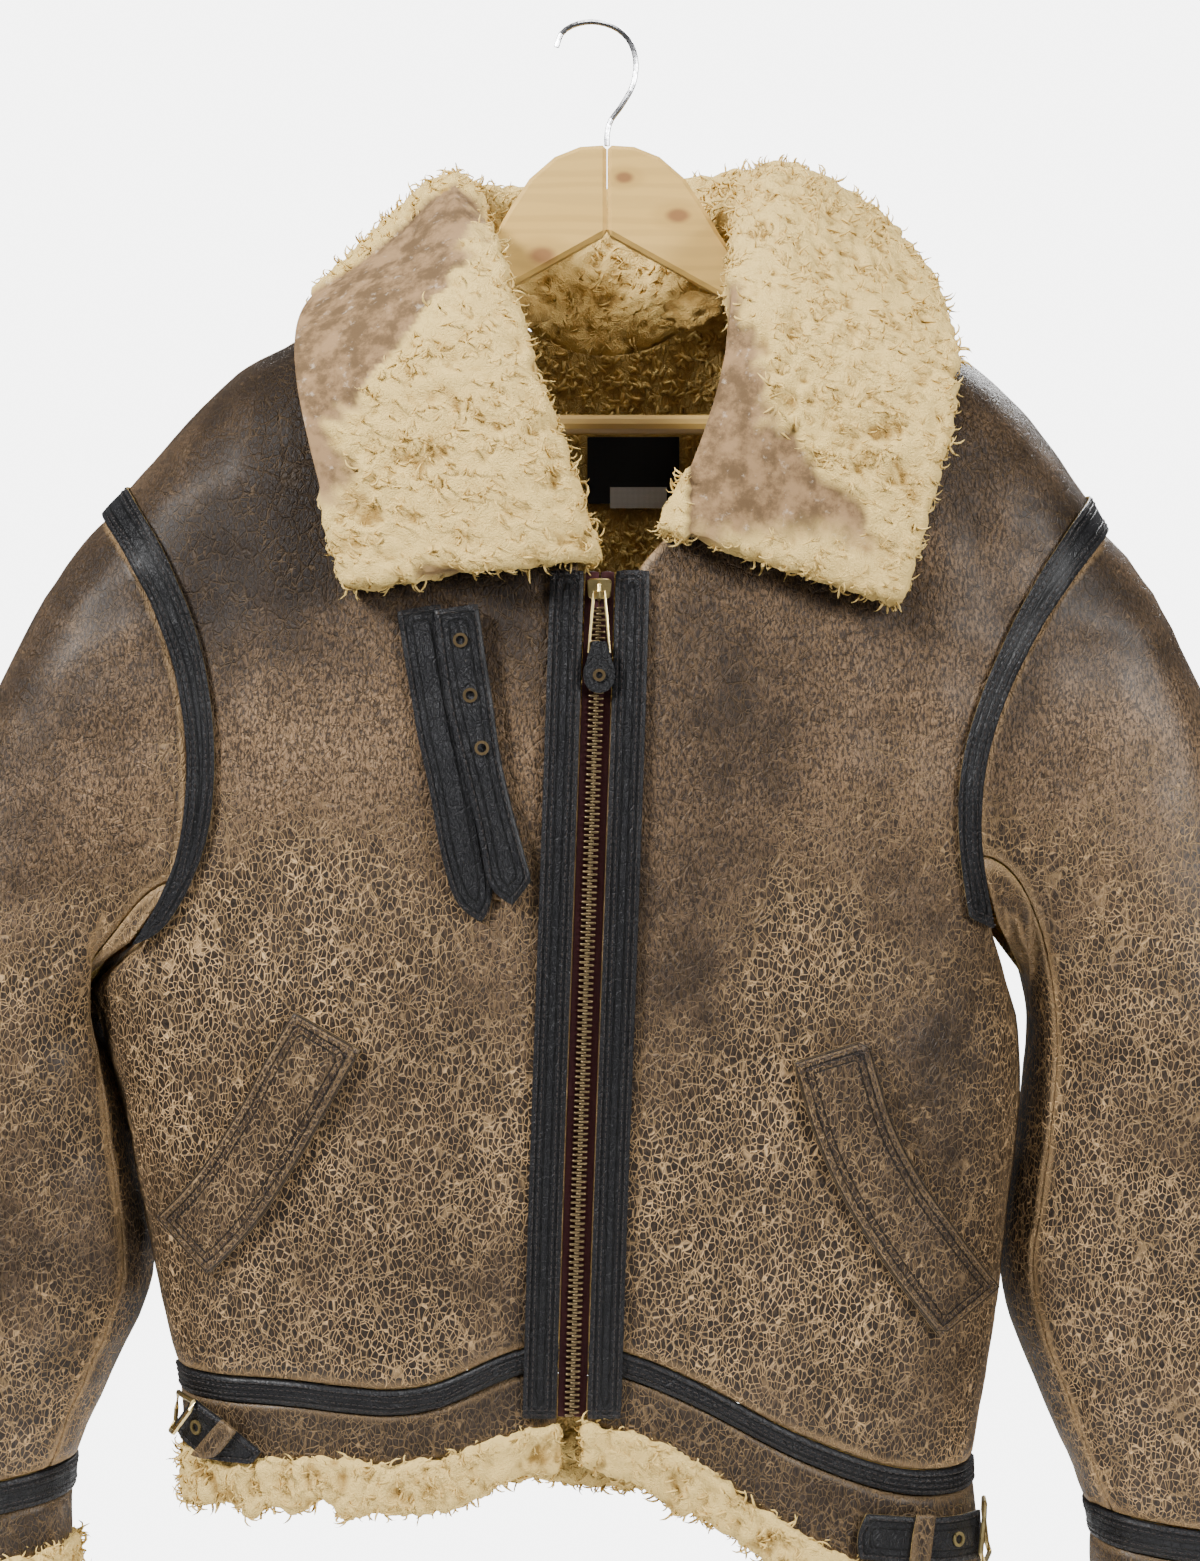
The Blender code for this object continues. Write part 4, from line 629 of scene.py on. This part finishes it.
def hide_material(name, colours, shine=0.36, wear=1.0, cells=1.0, seams=(), gloss=0.30):
    """Crackled waxed hide: tan veins round dark cells where it is dry, gloss where it is rubbed;
    painted shade darkens its top and its seam grooves.
    """
    hide = bpy.context.scene.jacket_hide
    wool = bpy.context.scene.jacket_wool
    made, tree, shader, place = new_material(name)
    brown, dark, tan = colours
    grain = add_node(tree, "Group", node_tree=crackle_group())
    tree.links.new(place, grain.inputs["Place"])
    grain.inputs["Cells"].default_value = cells / hide.grain
    ridge, patch, scuff = (grain.outputs[k] for k in ("Ridge", "Patch", "Scuff"))
    height = add_node(tree, "SeparateXYZ", {0: place}).outputs[2]
    rub = attribute(tree, "rub")
    dry = summed(tree, ranged(tree, height, -0.34, -0.62, -0.50, 0.08),
                 (patch, 1.6), (scuff, 0.7), (rub, -0.30))
    dry = times(tree, ranged(tree, dry, 0.66, 1.12, 0.10, 1.0), wear)
    streak = add_node(tree, "Mapping", {"Vector": place, "Scale": (1.0, 1.0, 0.45)}).outputs[0]
    fine = noise_value(tree, streak, 760.0, 3.0, 0.65)
    # Tone is darker towards the top as painted shade on the shoulders; patches, wear on the
    # wrinkles' ridges and scuffs vary it at random.
    tone = summed(tree, ranged(tree, height, -0.46, -0.24, 0.0, -0.17),
                  (patch, 0.9), (rub, 0.30), (scuff, 0.25))
    shade = ranged(tree, tone, 0.48, 1.00)
    shade = times(tree, shade, ranged(tree, fine, 0.42, 0.58, 0.12, 1.0))
    light = scaled(brown, 2.7)
    base = mix(tree, shade, scaled(dark, 2.2), light)
    base = mix(tree, times(tree, dry, 0.85), base, dark)
    vein = mix(tree, ranged(tree, scuff, 0.35, 0.65), tan, scaled(tan, 0.45))
    between = times(tree, less(tree, 1.0, ridge), dry)
    colour = mix(tree, between, base, vein)
    rim = ranged(tree, times(tree, attribute(tree, "rim"),
                            plus(tree, scuff, 0.30)), 0.40, 0.80)
    colour = mix(tree, times(tree, rim, 0.35 * wear), colour, tan)
    # Seam grooves are pressed in by the bump and darkened in colour as painted shade; the nearest
    # to a welt's edge is a painted shadow line.
    groove_and_shade = 0.0
    for apart in seams:
        away = math(tree, "ABSOLUTE", less(tree, attribute(tree, "edge"), apart))
        groove_and_shade = math(tree, "MAXIMUM", ranged(tree, away, 0.15, 0.75, 1.0, 0.0), groove_and_shade)
    colour = mix(tree, times(tree, groove_and_shade, 0.85), colour, scaled(dark, 0.3))
    inner = attribute(tree, "inside")
    colour = mix(tree, inner, colour, [0.5 * (a + b) for a, b in zip(wool.shaded_golden, wool.cream)])
    polish = ranged(tree, plus(tree, rub, patch), 0.75, 1.35, 0.10, gloss)
    polish = times(tree, polish, ranged(tree, height, -0.38, -0.24, 1.0, 0.25))
    rough = summed(tree, shine + 0.10, (rub, -0.16), (between, 0.30), (scuff, 0.16))
    rough = math(tree, "MAXIMUM", rough, inner)
    feed(tree, shader, Base_Color=colour, Roughness=rough, Specular_IOR_Level=0.20,
         Coat_Weight=times(tree, less(tree, 1.0, between), polish),
         Coat_Roughness=0.40)
    relief = summed(tree, grain.outputs["Height"], (fine, 0.8), (groove_and_shade, -1.6))
    bumped(tree, shader, relief, 0.9, 0.0016)
    return made


def wool_material(name, bare=False):
    """Cream wool, darker gold at its roots and in the hollows between its lumps as painted shade;
    with worn places where the bare skin shows.
    """
    wool = bpy.context.scene.jacket_wool
    made, tree, shader, place = new_material(name)
    fibre = add_node(tree, "Group", {"Place": place, "Scale": 520.0}, node_tree=fibre_group())
    tone, patch = fibre.outputs["Tone"], fibre.outputs["Patch"]
    if bare:
        # Hollows between the lumps take the darker gold as painted shade, the lumps' tops cream.
        high = summed(tree, attribute(tree, "lump"), (less(tree, tone, 0.5), 0.5))
        colour = mix(tree, ranged(tree, high, 0.34, 0.74), wool.shaded_golden, wool.cream)
        speck = ranged(tree, noise_value(tree, place, 160.0, 4.0, 0.7), 0.58, 0.72)
        stain = noise_value(tree, place, 55.0, 5.0, 0.7)
        suede = mix(tree, ranged(tree, stain, 0.38, 0.62), scaled(wool.suede, 1.45),
                    scaled(wool.suede, 0.60))
        suede = mix(tree, times(tree, speck, 0.5), suede, (0.50, 0.42, 0.32, 1))
        colour = mix(tree, attribute(tree, "bare"), colour, suede)
        curl = add_node(tree, "TexNoise", {"Vector": place, "Scale": 330.0, "Detail": 2.0,
                                           "Distortion": 2.5}).outputs["Fac"]
        relief = times(tree, curl, less(tree, 1.15, attribute(tree, "bare")))
        bumped(tree, shader, relief, 0.7, 0.0022)
    else:
        along = attribute(tree, "along")
        # Each curl's root takes the darker gold as painted shade and its tip cream; random tint and
        # patches vary it.
        tip = add_node(tree, "Math", {0: along, 1: 0.45, 2: 0.35}, operation="MULTIPLY_ADD")
        tip = summed(tree, tip.outputs[0], (attribute(tree, "tint"), 0.30),
                     (less(tree, patch, 0.5), 0.8))
        colour = mix(tree, ranged(tree, tip, 0.10, 0.85), wool.shaded_golden, wool.cream)
        bumped(tree, shader, fibre.outputs["Height"], 0.55, 0.0009)
    feed(tree, shader, Base_Color=colour, Roughness=0.92, Specular_IOR_Level=0.12)
    return made


def metal_material(name, colour, rough, tarnish):
    """A metal with fine scratches and darker tarnish in patches."""
    made, tree, shader, place = new_material(name)
    spots = noise_value(tree, place, 260.0, 4.0, 0.65)
    brushed = add_node(tree, "Mapping", {"Vector": place, "Scale": (1.0, 1.0, 0.08)}).outputs[0]
    scratch = noise_value(tree, brushed, 900.0, 2.0)
    worn = ranged(tree, spots, 0.42, 0.68)
    tone = mix(tree, times(tree, worn, tarnish), colour, scaled(colour, 0.35))
    feed(tree, shader, Base_Color=tone, Metallic=1.0,
         Roughness=summed(tree, rough, (scratch, 0.14), (worn, 0.12)))
    bumped(tree, shader, scratch, 0.12, 0.0003)
    return made


def cloth_material(name, colour, threads=420.0):
    """Woven tape or label."""
    made, tree, shader, place = new_material(name)
    weave = add_node(tree, "Group", {"Place": place, "Threads": threads}, node_tree=weave_group())
    shade = scaled(colour, 0.55)
    # Low places of the weave take the darker copy as painted shade between threads; a slow noise
    # mottles the tone toward it too.
    tone = mix(tree, ranged(tree, weave.outputs["Height"], 0.1, 0.7), shade, colour)
    tone = mix(tree, times(tree, weave.outputs["Tone"], 0.4), tone, shade)
    feed(tree, shader, Base_Color=tone, Roughness=0.85, Specular_IOR_Level=0.25, Sheen_Weight=0.15)
    bumped(tree, shader, weave.outputs["Height"], 0.5, 0.0004)
    return made


def wood_material(name):
    """Pale varnished wood with long grain and a few brown knots."""
    trim = bpy.context.scene.jacket_trim
    made, tree, shader, place = new_material(name)
    along = add_node(tree, "Mapping", {"Vector": place, "Scale": (0.12, 1.0, 0.9)}).outputs[0]
    flow = noise_value(tree, along, 46.0, 4.0, 0.6)
    rings = add_node(tree, "TexWave", {"Vector": along, "Scale": 38.0, "Distortion": 6.0,
                                       "Detail": 3.0, "Detail Scale": 1.4},
                     bands_direction="Z").outputs["Fac"]
    dark = scaled(trim.wood, 0.72)
    tone = mix(tree, times(tree, ranged(tree, rings, 0.2, 0.9), 0.45), trim.wood, dark)
    tone = mix(tree, times(tree, flow, 0.35), tone, (0.74, 0.52, 0.19, 1))
    for x, z, size in KNOTS:
        apart = add_node(tree, "Mapping", {"Vector": place, "Location": (-x, 0.0, -z)},
                         vector_type="POINT").outputs[0]
        wide = add_node(tree, "VectorMath", {0: apart, 1: (0.62, 0.0, 1.0)},
                        operation="MULTIPLY").outputs[0]
        far = add_node(tree, "VectorMath", {0: wide}, operation="LENGTH").outputs[1]
        far = summed(tree, far, (less(tree, flow, 0.5), 0.004))
        knot = ranged(tree, far, 0.35 * size, size, 1.0, 0.0)
        ring = ranged(tree, far, size, 2.1 * size, 0.45, 0.0)
        tone = mix(tree, ring, tone, dark)
        tone = mix(tree, times(tree, knot, 0.85), tone, (0.20, 0.085, 0.035, 1))
    feed(tree, shader, Base_Color=tone, Roughness=0.38, Coat_Weight=0.25, Coat_Roughness=0.2)
    bumped(tree, shader, rings, 0.06, 0.0004)
    return made


def outward_edges(name):
    """Hard edges round a strip's outer face: two ends, the face's normal and the way into it."""
    made = merged(name)
    rows = []
    for edge in made.edges:
        if len(edge.link_faces) != 2 or edge.calc_face_angle(0.0) < HARD_ANGLE:
            continue
        if edge.calc_length() < SHORTEST_EDGE:
            continue
        middle = 0.5 * (edge.verts[0].co + edge.verts[1].co)
        out = outward_at(name, middle, None)
        faces = sorted(edge.link_faces, key=lambda f: f.normal.dot(out))
        if faces[1].normal.dot(out) < 0.55 or faces[0].normal.dot(out) > 0.5:
            continue
        along = (edge.verts[1].co - edge.verts[0].co).normalized()
        into = faces[1].normal.cross(along)
        if into.dot(faces[1].calc_center_median() - middle) < 0:
            into.negate()
        rows.append((edge.verts[0].co.copy(), edge.verts[1].co.copy(),
                     faces[1].normal.copy(), into))
    made.free()
    return rows


def stitch_shape():
    """A short rounded stitch along X, one unit long."""
    made = bmesh.new()
    bmesh.ops.create_uvsphere(made, u_segments=6, v_segments=4, radius=0.5)
    points, faces = arrays_of(made)
    return points, faces, np.zeros(len(points))


def frame_of(along, normal):
    """Turns X along a line and Z along a normal."""
    across = normal.cross(along).normalized()
    return np.array(Matrix((along, across, normal)).transposed())


def stitch_rows(name, nodes, insets, material, slot):
    """Stitches inside the edges of some strips, laid on the strips' finished forms."""
    trim = bpy.context.scene.jacket_trim
    shape = np.diag((trim.stitch, STITCH_THICK, STITCH_THICK))
    places = []
    turns = []
    for node in nodes:
        form = FORMS[node]
        tree = BVHTree.FromPolygons([v.co for v in form.vertices],
                                    [p.vertices for p in form.polygons])
        for start, end, normal, into in outward_edges(node):
            along = (end - start).normalized()
            count = max(1, round((end - start).length / (trim.stitch * 1.38)))
            for inset in insets:
                for k in range(count):
                    spot = start.lerp(end, (k + 0.5) / count) + into * inset
                    found, facing, _, far = tree.find_nearest(spot)
                    if found is None or far > 0.006 or facing.dot(normal) < 0.5:
                        continue
                    flat = (along - facing * along.dot(facing)).normalized()
                    places.append(found + facing * 0.00015)
                    turns.append(frame_of(flat, facing) @ shape)
    count = len(places)
    mesh = repeated(name, [stitch_shape()], np.zeros(count, dtype=int), np.array(turns),
                    np.array([p[:] for p in places]), np.zeros(count))
    return placed(name, mesh, material, slot)


def keep_node(name, material):
    """Gives a CAD node that stays a better finish."""
    slots = NODES[name].material_slots
    for entry in slots:
        entry.material = material
    if not slots:
        raise RuntimeError(name + " has no material slot")


class JACKET_OT_hide(bpy.types.Operator):
    """Brown hide of the fronts, back and sleeves, with soft creases and crackle"""
    bl_idname = "jacket.hide"
    bl_label = "Brown Hide"

    def execute(self, context):
        hide = context.scene.jacket_hide
        brown = hide_material("Brown crackled hide", (hide.brown, hide.dark, hide.tan))
        for name in HIDE_PANELS:
            piece = placed(name + "_hide", form_of(name, 2, hide.crease), brown, "brown_hide", name)
        return {"FINISHED"}


class JACKET_OT_dark_hide(bpy.types.Operator):
    """Darker hide of the hem bands, cuffs, pocket welts and keepers"""
    bl_idname = "jacket.dark_hide"
    bl_label = "Dark Hide"

    def execute(self, context):
        hide = context.scene.jacket_hide
        colours = (scaled(hide.brown, 0.45), hide.dark, scaled(hide.tan, 0.45))
        plain = hide_material("Dark crackled hide", colours, shine=0.34, wear=0.8)
        colours = (scaled(hide.brown, 0.8), hide.dark, scaled(hide.tan, 0.7))
        seamed = hide_material("Stitched crackled hide", colours, shine=0.34, wear=0.8,
                               seams=WELT_GROOVES)
        for name in DARK_PANELS:
            material = seamed if name in POCKET_WELTS else plain
            placed(name + "_hide", form_of(name, 2, hide.crease), material, "dark_hide", name)
        return {"FINISHED"}


class JACKET_OT_black_strips(bpy.types.Operator):
    """Black leather strips over the seams and zip, and the straps of the collar and hem"""
    bl_idname = "jacket.black_strips"
    bl_label = "Black Strips"

    def execute(self, context):
        hide = context.scene.jacket_hide
        colours = (scaled(hide.black, 2.2), hide.black, scaled(hide.black, 5.0))
        material = hide_material("Black leather", colours, shine=0.26, wear=0.7, cells=1.3,
                                 seams=STRIP_GROOVES, gloss=0.25)
        for name in BLACK_STRIPS + BLACK_STRAPS:
            form = form_of(name, 2, hide.crease)
            placed(name + "_leather", form, material, "black_leather", name)
        keep_node("pull_tab", material)
        return {"FINISHED"}


def line_at(table, z):
    """Value of a table of rising heights at a height."""
    return float(np.interp(z, [row[0] for row in table], [row[1] for row in table]))


def collar_bare(p):
    """Where the collar's wool is worn off, from 0 to 1, on each wing's face."""
    if p.y > -0.01:
        return 0.0
    rough = 0.016 * noise.noise(p * 38.0) + 0.010 * noise.noise(p * 110.0)
    if p.x < -0.045:
        outer = smooth_step(0.006, -0.006, p.x - line_at(BARE_LEFT, p.z) + rough)
        spots = smooth_step(0.36, 0.48, noise.noise(p * 34.0)) * smooth_step(-0.28, -0.31, p.z)
        return max(outer, 0.85 * spots)
    if p.x > 0.045:
        inner = smooth_step(0.006, -0.006, p.x - line_at(BARE_RIGHT, p.z) + rough)
        edge = smooth_step(-0.300, -0.325, p.z + 0.6 * rough)
        return inner * (1.0 - 0.9 * edge)
    return 0.0


def is_collar_front(p, n):
    return collar_bare(p) < 0.5


def in_neck(p, n):
    """The back's inner side below the collar, but for the label's place."""
    on_label = -0.016 < p.x < 0.050 and -0.284 < p.z < -0.228
    return n.y < -0.2 and n.z < 0.3 and p.z > -0.40 and abs(p.x) < 0.17 and not on_label


def tuft_mesh():
    """Two tufts of wool over the slits between the collar and the back, beside the hanger."""
    made = bmesh.new()
    for side in (-1.0, 1.0):
        for vertex in bmesh.ops.create_icosphere(made, subdivisions=4, radius=1.0)["verts"]:
            lump = 1.0 + 0.35 * noise.noise(vertex.co * 2.4)
            vertex.co = vertex.co * lump * Vector(NECK_TUFT_SIZE) + Vector(
                (side * NECK_TUFT[0], NECK_TUFT[1], NECK_TUFT[2]))
    tuft = mesh_of(made, "neck_tuft")
    mark(tuft, "lump", np.full(len(tuft.vertices), 0.45))
    mark(tuft, "bare", np.zeros(len(tuft.vertices)))
    return tuft


class JACKET_OT_wool(bpy.types.Operator):
    """Curly wool of the collar, hem, cuffs and the lining that shows at the neck"""
    bl_idname = "jacket.wool"
    bl_label = "Wool"

    def execute(self, context):
        wool = context.scene.jacket_wool
        base = wool_material("Wool ground and bare skin", bare=True)
        curls = wool_material("Wool curls")
        collar = form_of("collar", 3, 0.0)
        lumpy(collar, WOOL_LUMP, [collar_bare(v.co) for v in collar.vertices])
        piece = placed("collar_skin", collar, base, "cream_fur", "collar")
        mesh = wool_mesh("collar_wool", [collar], wool.collar_curls, wool.curl, LOCK_WIDTH,
                         SEED, is_collar_front, lean=1.3)
        placed("collar_wool", mesh, curls, "cream_fur")
        for name in WOOL_EDGES:
            form = form_of(name, 3, 0.0)
            lumpy(form, WOOL_LUMP, [0.0] * len(form.vertices))
            placed(name + "_skin", form, base, "cream_fur", name)
        hem = [FORMS[name] for name in WOOL_EDGES[:3]]
        mesh = wool_mesh("hem_wool", hem, HEM_CURLS, wool.curl, LOCK_WIDTH, SEED + 1, anywhere)
        placed("hem_wool", mesh, curls, "cream_fur")
        for k, side in enumerate(("left", "right")):
            name = "cuff_%s_fur" % side
            mesh = wool_mesh(name + "_wool", [FORMS[name]], CUFF_CURLS, wool.curl, LOCK_WIDTH,
                             SEED + 2 + k, anywhere)
            placed(name + "_wool", mesh, curls, "cream_fur")
        lining = wool_mesh("neck_lining_wool", [FORMS["back"]], NECK_CURLS, wool.curl * 0.8,
                           NECK_LOCK_WIDTH, SEED + 5, in_neck, lean=0.6)
        placed("neck_lining_wool", lining, curls, "cream_fur")
        placed("neck_tuft", tuft_mesh(), wool_material("Wool tuft", bare=True), "cream_fur")
        return {"FINISHED"}


def chain_line():
    """Middle line of the zip chain, from its own rows of points."""
    points = {}
    for v in NODES["zip_chain"].data.vertices:
        points.setdefault(round(v.co.z, 4), []).append(v.co)
    rows = []
    for z in sorted(points):
        near = points[z]
        rows.append(Vector((sum(p.x for p in near) / len(near), min(p.y for p in near), z)))
    merged_rows = [rows[0]]
    for row in rows[1:]:
        if row.z - merged_rows[-1].z > 0.004:
            merged_rows.append(row)
    return merged_rows


def along_line(line, z):
    """Point on a line of rising points at a height."""
    for low, high in zip(line, line[1:]):
        if z <= high.z:
            return low.lerp(high, (z - low.z) / (high.z - low.z))
    return line[-1]


class JACKET_OT_zip(bpy.types.Operator):
    """Zip: woven tapes, one metal tooth after another, and the slider's metal"""
    bl_idname = "jacket.zip"
    bl_label = "Zip"

    def execute(self, context):
        trim = context.scene.jacket_trim
        tape = cloth_material("Burgundy tape", trim.tape)
        brass = metal_material("Aged brass", (0.19, 0.135, 0.070, 1), 0.34, 0.6)
        gold = metal_material("Gold brass", (0.60, 0.47, 0.21, 1), 0.22, 0.35)
        for name in ("zip_tape_left", "zip_tape_right"):
            placed(name + "_cloth", form_of(name, 1, 0.0), tape, "burgundy_tape", name)
        line = chain_line()
        made = bmesh.new()
        bmesh.ops.create_cube(made, size=1.0)
        bmesh.ops.bevel(made, geom=made.edges, offset=0.16, offset_type="OFFSET", segments=1,
                        affect="EDGES", profile=0.5, material=-1)
        points, faces = arrays_of(made)
        tooth = (points, faces, np.zeros(len(points)))
        places = []
        count = int((line[-1].z - line[0].z) / trim.tooth_pitch)
        for k in range(2 * count):
            z = line[0].z + 0.5 * trim.tooth_pitch * (k + 1)
            spot = along_line(line, z)
            side = TOOTH_SIDE if k % 2 else -TOOTH_SIDE
            places.append((spot.x + side, spot.y + TOOTH_BACK, z))
        size = np.diag((TOOTH_SIZE[0], TOOTH_SIZE[1], trim.tooth_pitch * TOOTH_SIZE[2]))
        mesh = repeated("zip_teeth", [tooth], np.zeros(len(places), dtype=int),
                        np.repeat(size[None], len(places), axis=0), np.array(places),
                        np.zeros(len(places)))
        placed("zip_teeth", mesh, brass, "aged_brass", "zip_chain")
        for name in GOLD_METAL:
            keep_node(name, gold)
        for name in BRASS_METAL:
            keep_node(name, brass)
        return {"FINISHED"}


class JACKET_OT_stitches(bpy.types.Operator):
    """Rows of stitches inside the edges of strips, straps and pocket welts"""
    bl_idname = "jacket.stitches"
    bl_label = "Stitches"

    def execute(self, context):
        thread = cloth_material("Waxed thread", (0.030, 0.020, 0.016, 1), 900.0)
        brown = cloth_material("Brown thread", (0.050, 0.028, 0.018, 1), 900.0)
        stitch_rows("strip_stitches", BLACK_STRIPS, STRIP_STITCHES, thread, "black_leather")
        stitch_rows("strap_stitches", BLACK_STRAPS, STRAP_STITCHES, thread, "black_leather")
        stitch_rows("welt_stitches", POCKET_WELTS, WELT_STITCHES, brown, "dark_hide")
        return {"FINISHED"}


class JACKET_OT_hanger(bpy.types.Operator):
    """Wooden hanger with its knots, and the plated hook with a ball at its end"""
    bl_idname = "jacket.hanger"
    bl_label = "Hanger"

    def execute(self, context):
        wood = wood_material("Pale hanger wood")
        for name in ("hanger_arm_left", "hanger_arm_right", "hanger_bar"):
            keep_node(name, wood)
        keep_node("hanger_hook", metal_material("Plated wire", (0.40, 0.40, 0.41, 1), 0.12, 0.5))
        return {"FINISHED"}


class JACKET_OT_labels(bpy.types.Operator):
    """Bare woven label and bare tag inside the neck"""
    bl_idname = "jacket.labels"
    bl_label = "Labels"

    def execute(self, context):
        keep_node("neck_label", cloth_material("Black label", (0.010, 0.010, 0.012, 1)))
        keep_node("neck_tag", cloth_material("White tag", (0.62, 0.60, 0.55, 1)))
        return {"FINISHED"}


def soft_light(name, place, faced, size, power):
    """A square soft lamp that faces the jacket's middle at a height."""
    lamp = bpy.data.lights.new(name, "AREA")
    lamp.size = size
    lamp.energy = power
    made = linked(name, lamp)
    made.location = place
    aim = Vector((0, 0, faced)) - Vector(place)
    made.rotation_euler = aim.to_track_quat("-Z", "Y").to_euler()


class JACKET_OT_studio(bpy.types.Operator):
    """Plain pale floor and surround, soft lights and the camera"""
    bl_idname = "jacket.studio"
    bl_label = "Studio"

    @staticmethod
    def stage_piece(name, kind, place, **finish):
        """A round floor or the ball around it, which isn't part of the object."""
        made = bmesh.new()
        if kind == "ball":
            bmesh.ops.create_icosphere(made, subdivisions=4, radius=SURROUND_RADIUS)
            bmesh.ops.reverse_faces(made, faces=made.faces)
        else:
            bmesh.ops.create_cone(made, cap_ends=True, segments=96, radius1=FLOOR_RADIUS,
                                  radius2=FLOOR_RADIUS, depth=FLOOR_THICK)
        piece = linked(name, mesh_of(made, name))
        piece.location = place
        piece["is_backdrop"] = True
        material, tree, shader, _ = new_material(name)
        feed(tree, shader, **finish)
        piece.data.materials.append(material)
        return piece

    def execute(self, context):
        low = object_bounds()[0][2] - FLOOR_DROP
        self.stage_piece("Studio floor", "disc", (0, 0, low - 0.5 * FLOOR_THICK),
                         Base_Color=(0.93, 0.93, 0.93, 1), Roughness=0.9)
        around = self.stage_piece("Pale surround", "ball", (0, 0, 0), Base_Color=(0, 0, 0, 1),
                                  Specular_IOR_Level=0.0, Emission_Color=(1, 1, 1, 1),
                                  Emission_Strength=SURROUND_GLOW)
        around.visible_diffuse = around.visible_glossy = around.visible_shadow = False
        world = bpy.data.worlds.new("Soft light")
        world.use_nodes = True
        world.node_tree.nodes["Background"].inputs[0].default_value = (1, 1, 1, 1)
        world.node_tree.nodes["Background"].inputs[1].default_value = WORLD_GLOW
        context.scene.world = world
        for light in LIGHTS:
            soft_light(*light)
        camera = bpy.data.cameras.new("View")
        camera.sensor_fit = "VERTICAL"
        camera.angle_y = radians(VIEW_ANGLE)
        made = linked("View", camera)
        made.location = VIEW_POINT
        made.rotation_euler = (radians(90), 0, 0)
        context.scene.camera = made
        return {"FINISHED"}


OPERATORS = (JACKET_OT_studio, JACKET_OT_hide, JACKET_OT_dark_hide, JACKET_OT_black_strips,
             JACKET_OT_wool, JACKET_OT_zip, JACKET_OT_stitches, JACKET_OT_hanger,
             JACKET_OT_labels)
GROUPS = (("jacket_hide", JacketHide), ("jacket_wool", JacketWool), ("jacket_trim", JacketTrim))


class JACKET_PT_panel(bpy.types.Panel):
    """Lists the jacket's pieces and their sizes and colours"""
    bl_idname = "JACKET_PT_panel"
    bl_label = "Flying Jacket"
    bl_space_type = "VIEW_3D"
    bl_region_type = "UI"
    bl_category = "Jacket"

    def draw(self, context):
        for name, _ in GROUPS:
            settings = getattr(context.scene, name)
            box = self.layout.box()
            for key in settings.bl_rna.properties.keys():
                if key not in ("rna_type", "name"):
                    box.prop(settings, key)
        for operator in OPERATORS:
            self.layout.operator(operator.bl_idname)


def register():
    for _, group in GROUPS:
        bpy.utils.register_class(group)
    for name, group in GROUPS:
        setattr(bpy.types.Scene, name, PointerProperty(type=group))
    for operator in OPERATORS:
        bpy.utils.register_class(operator)
    bpy.utils.register_class(JACKET_PT_panel)


def unregister():
    bpy.utils.unregister_class(JACKET_PT_panel)
    for operator in reversed(OPERATORS):
        bpy.utils.unregister_class(operator)
    for name, group in reversed(GROUPS):
        delattr(bpy.types.Scene, name)
        bpy.utils.unregister_class(group)


def main():
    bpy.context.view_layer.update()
    register()
    for operator in OPERATORS:
        group, call = operator.bl_idname.split(".")
        getattr(getattr(bpy.ops, group), call)()


if __name__ == "__main__":
    main()
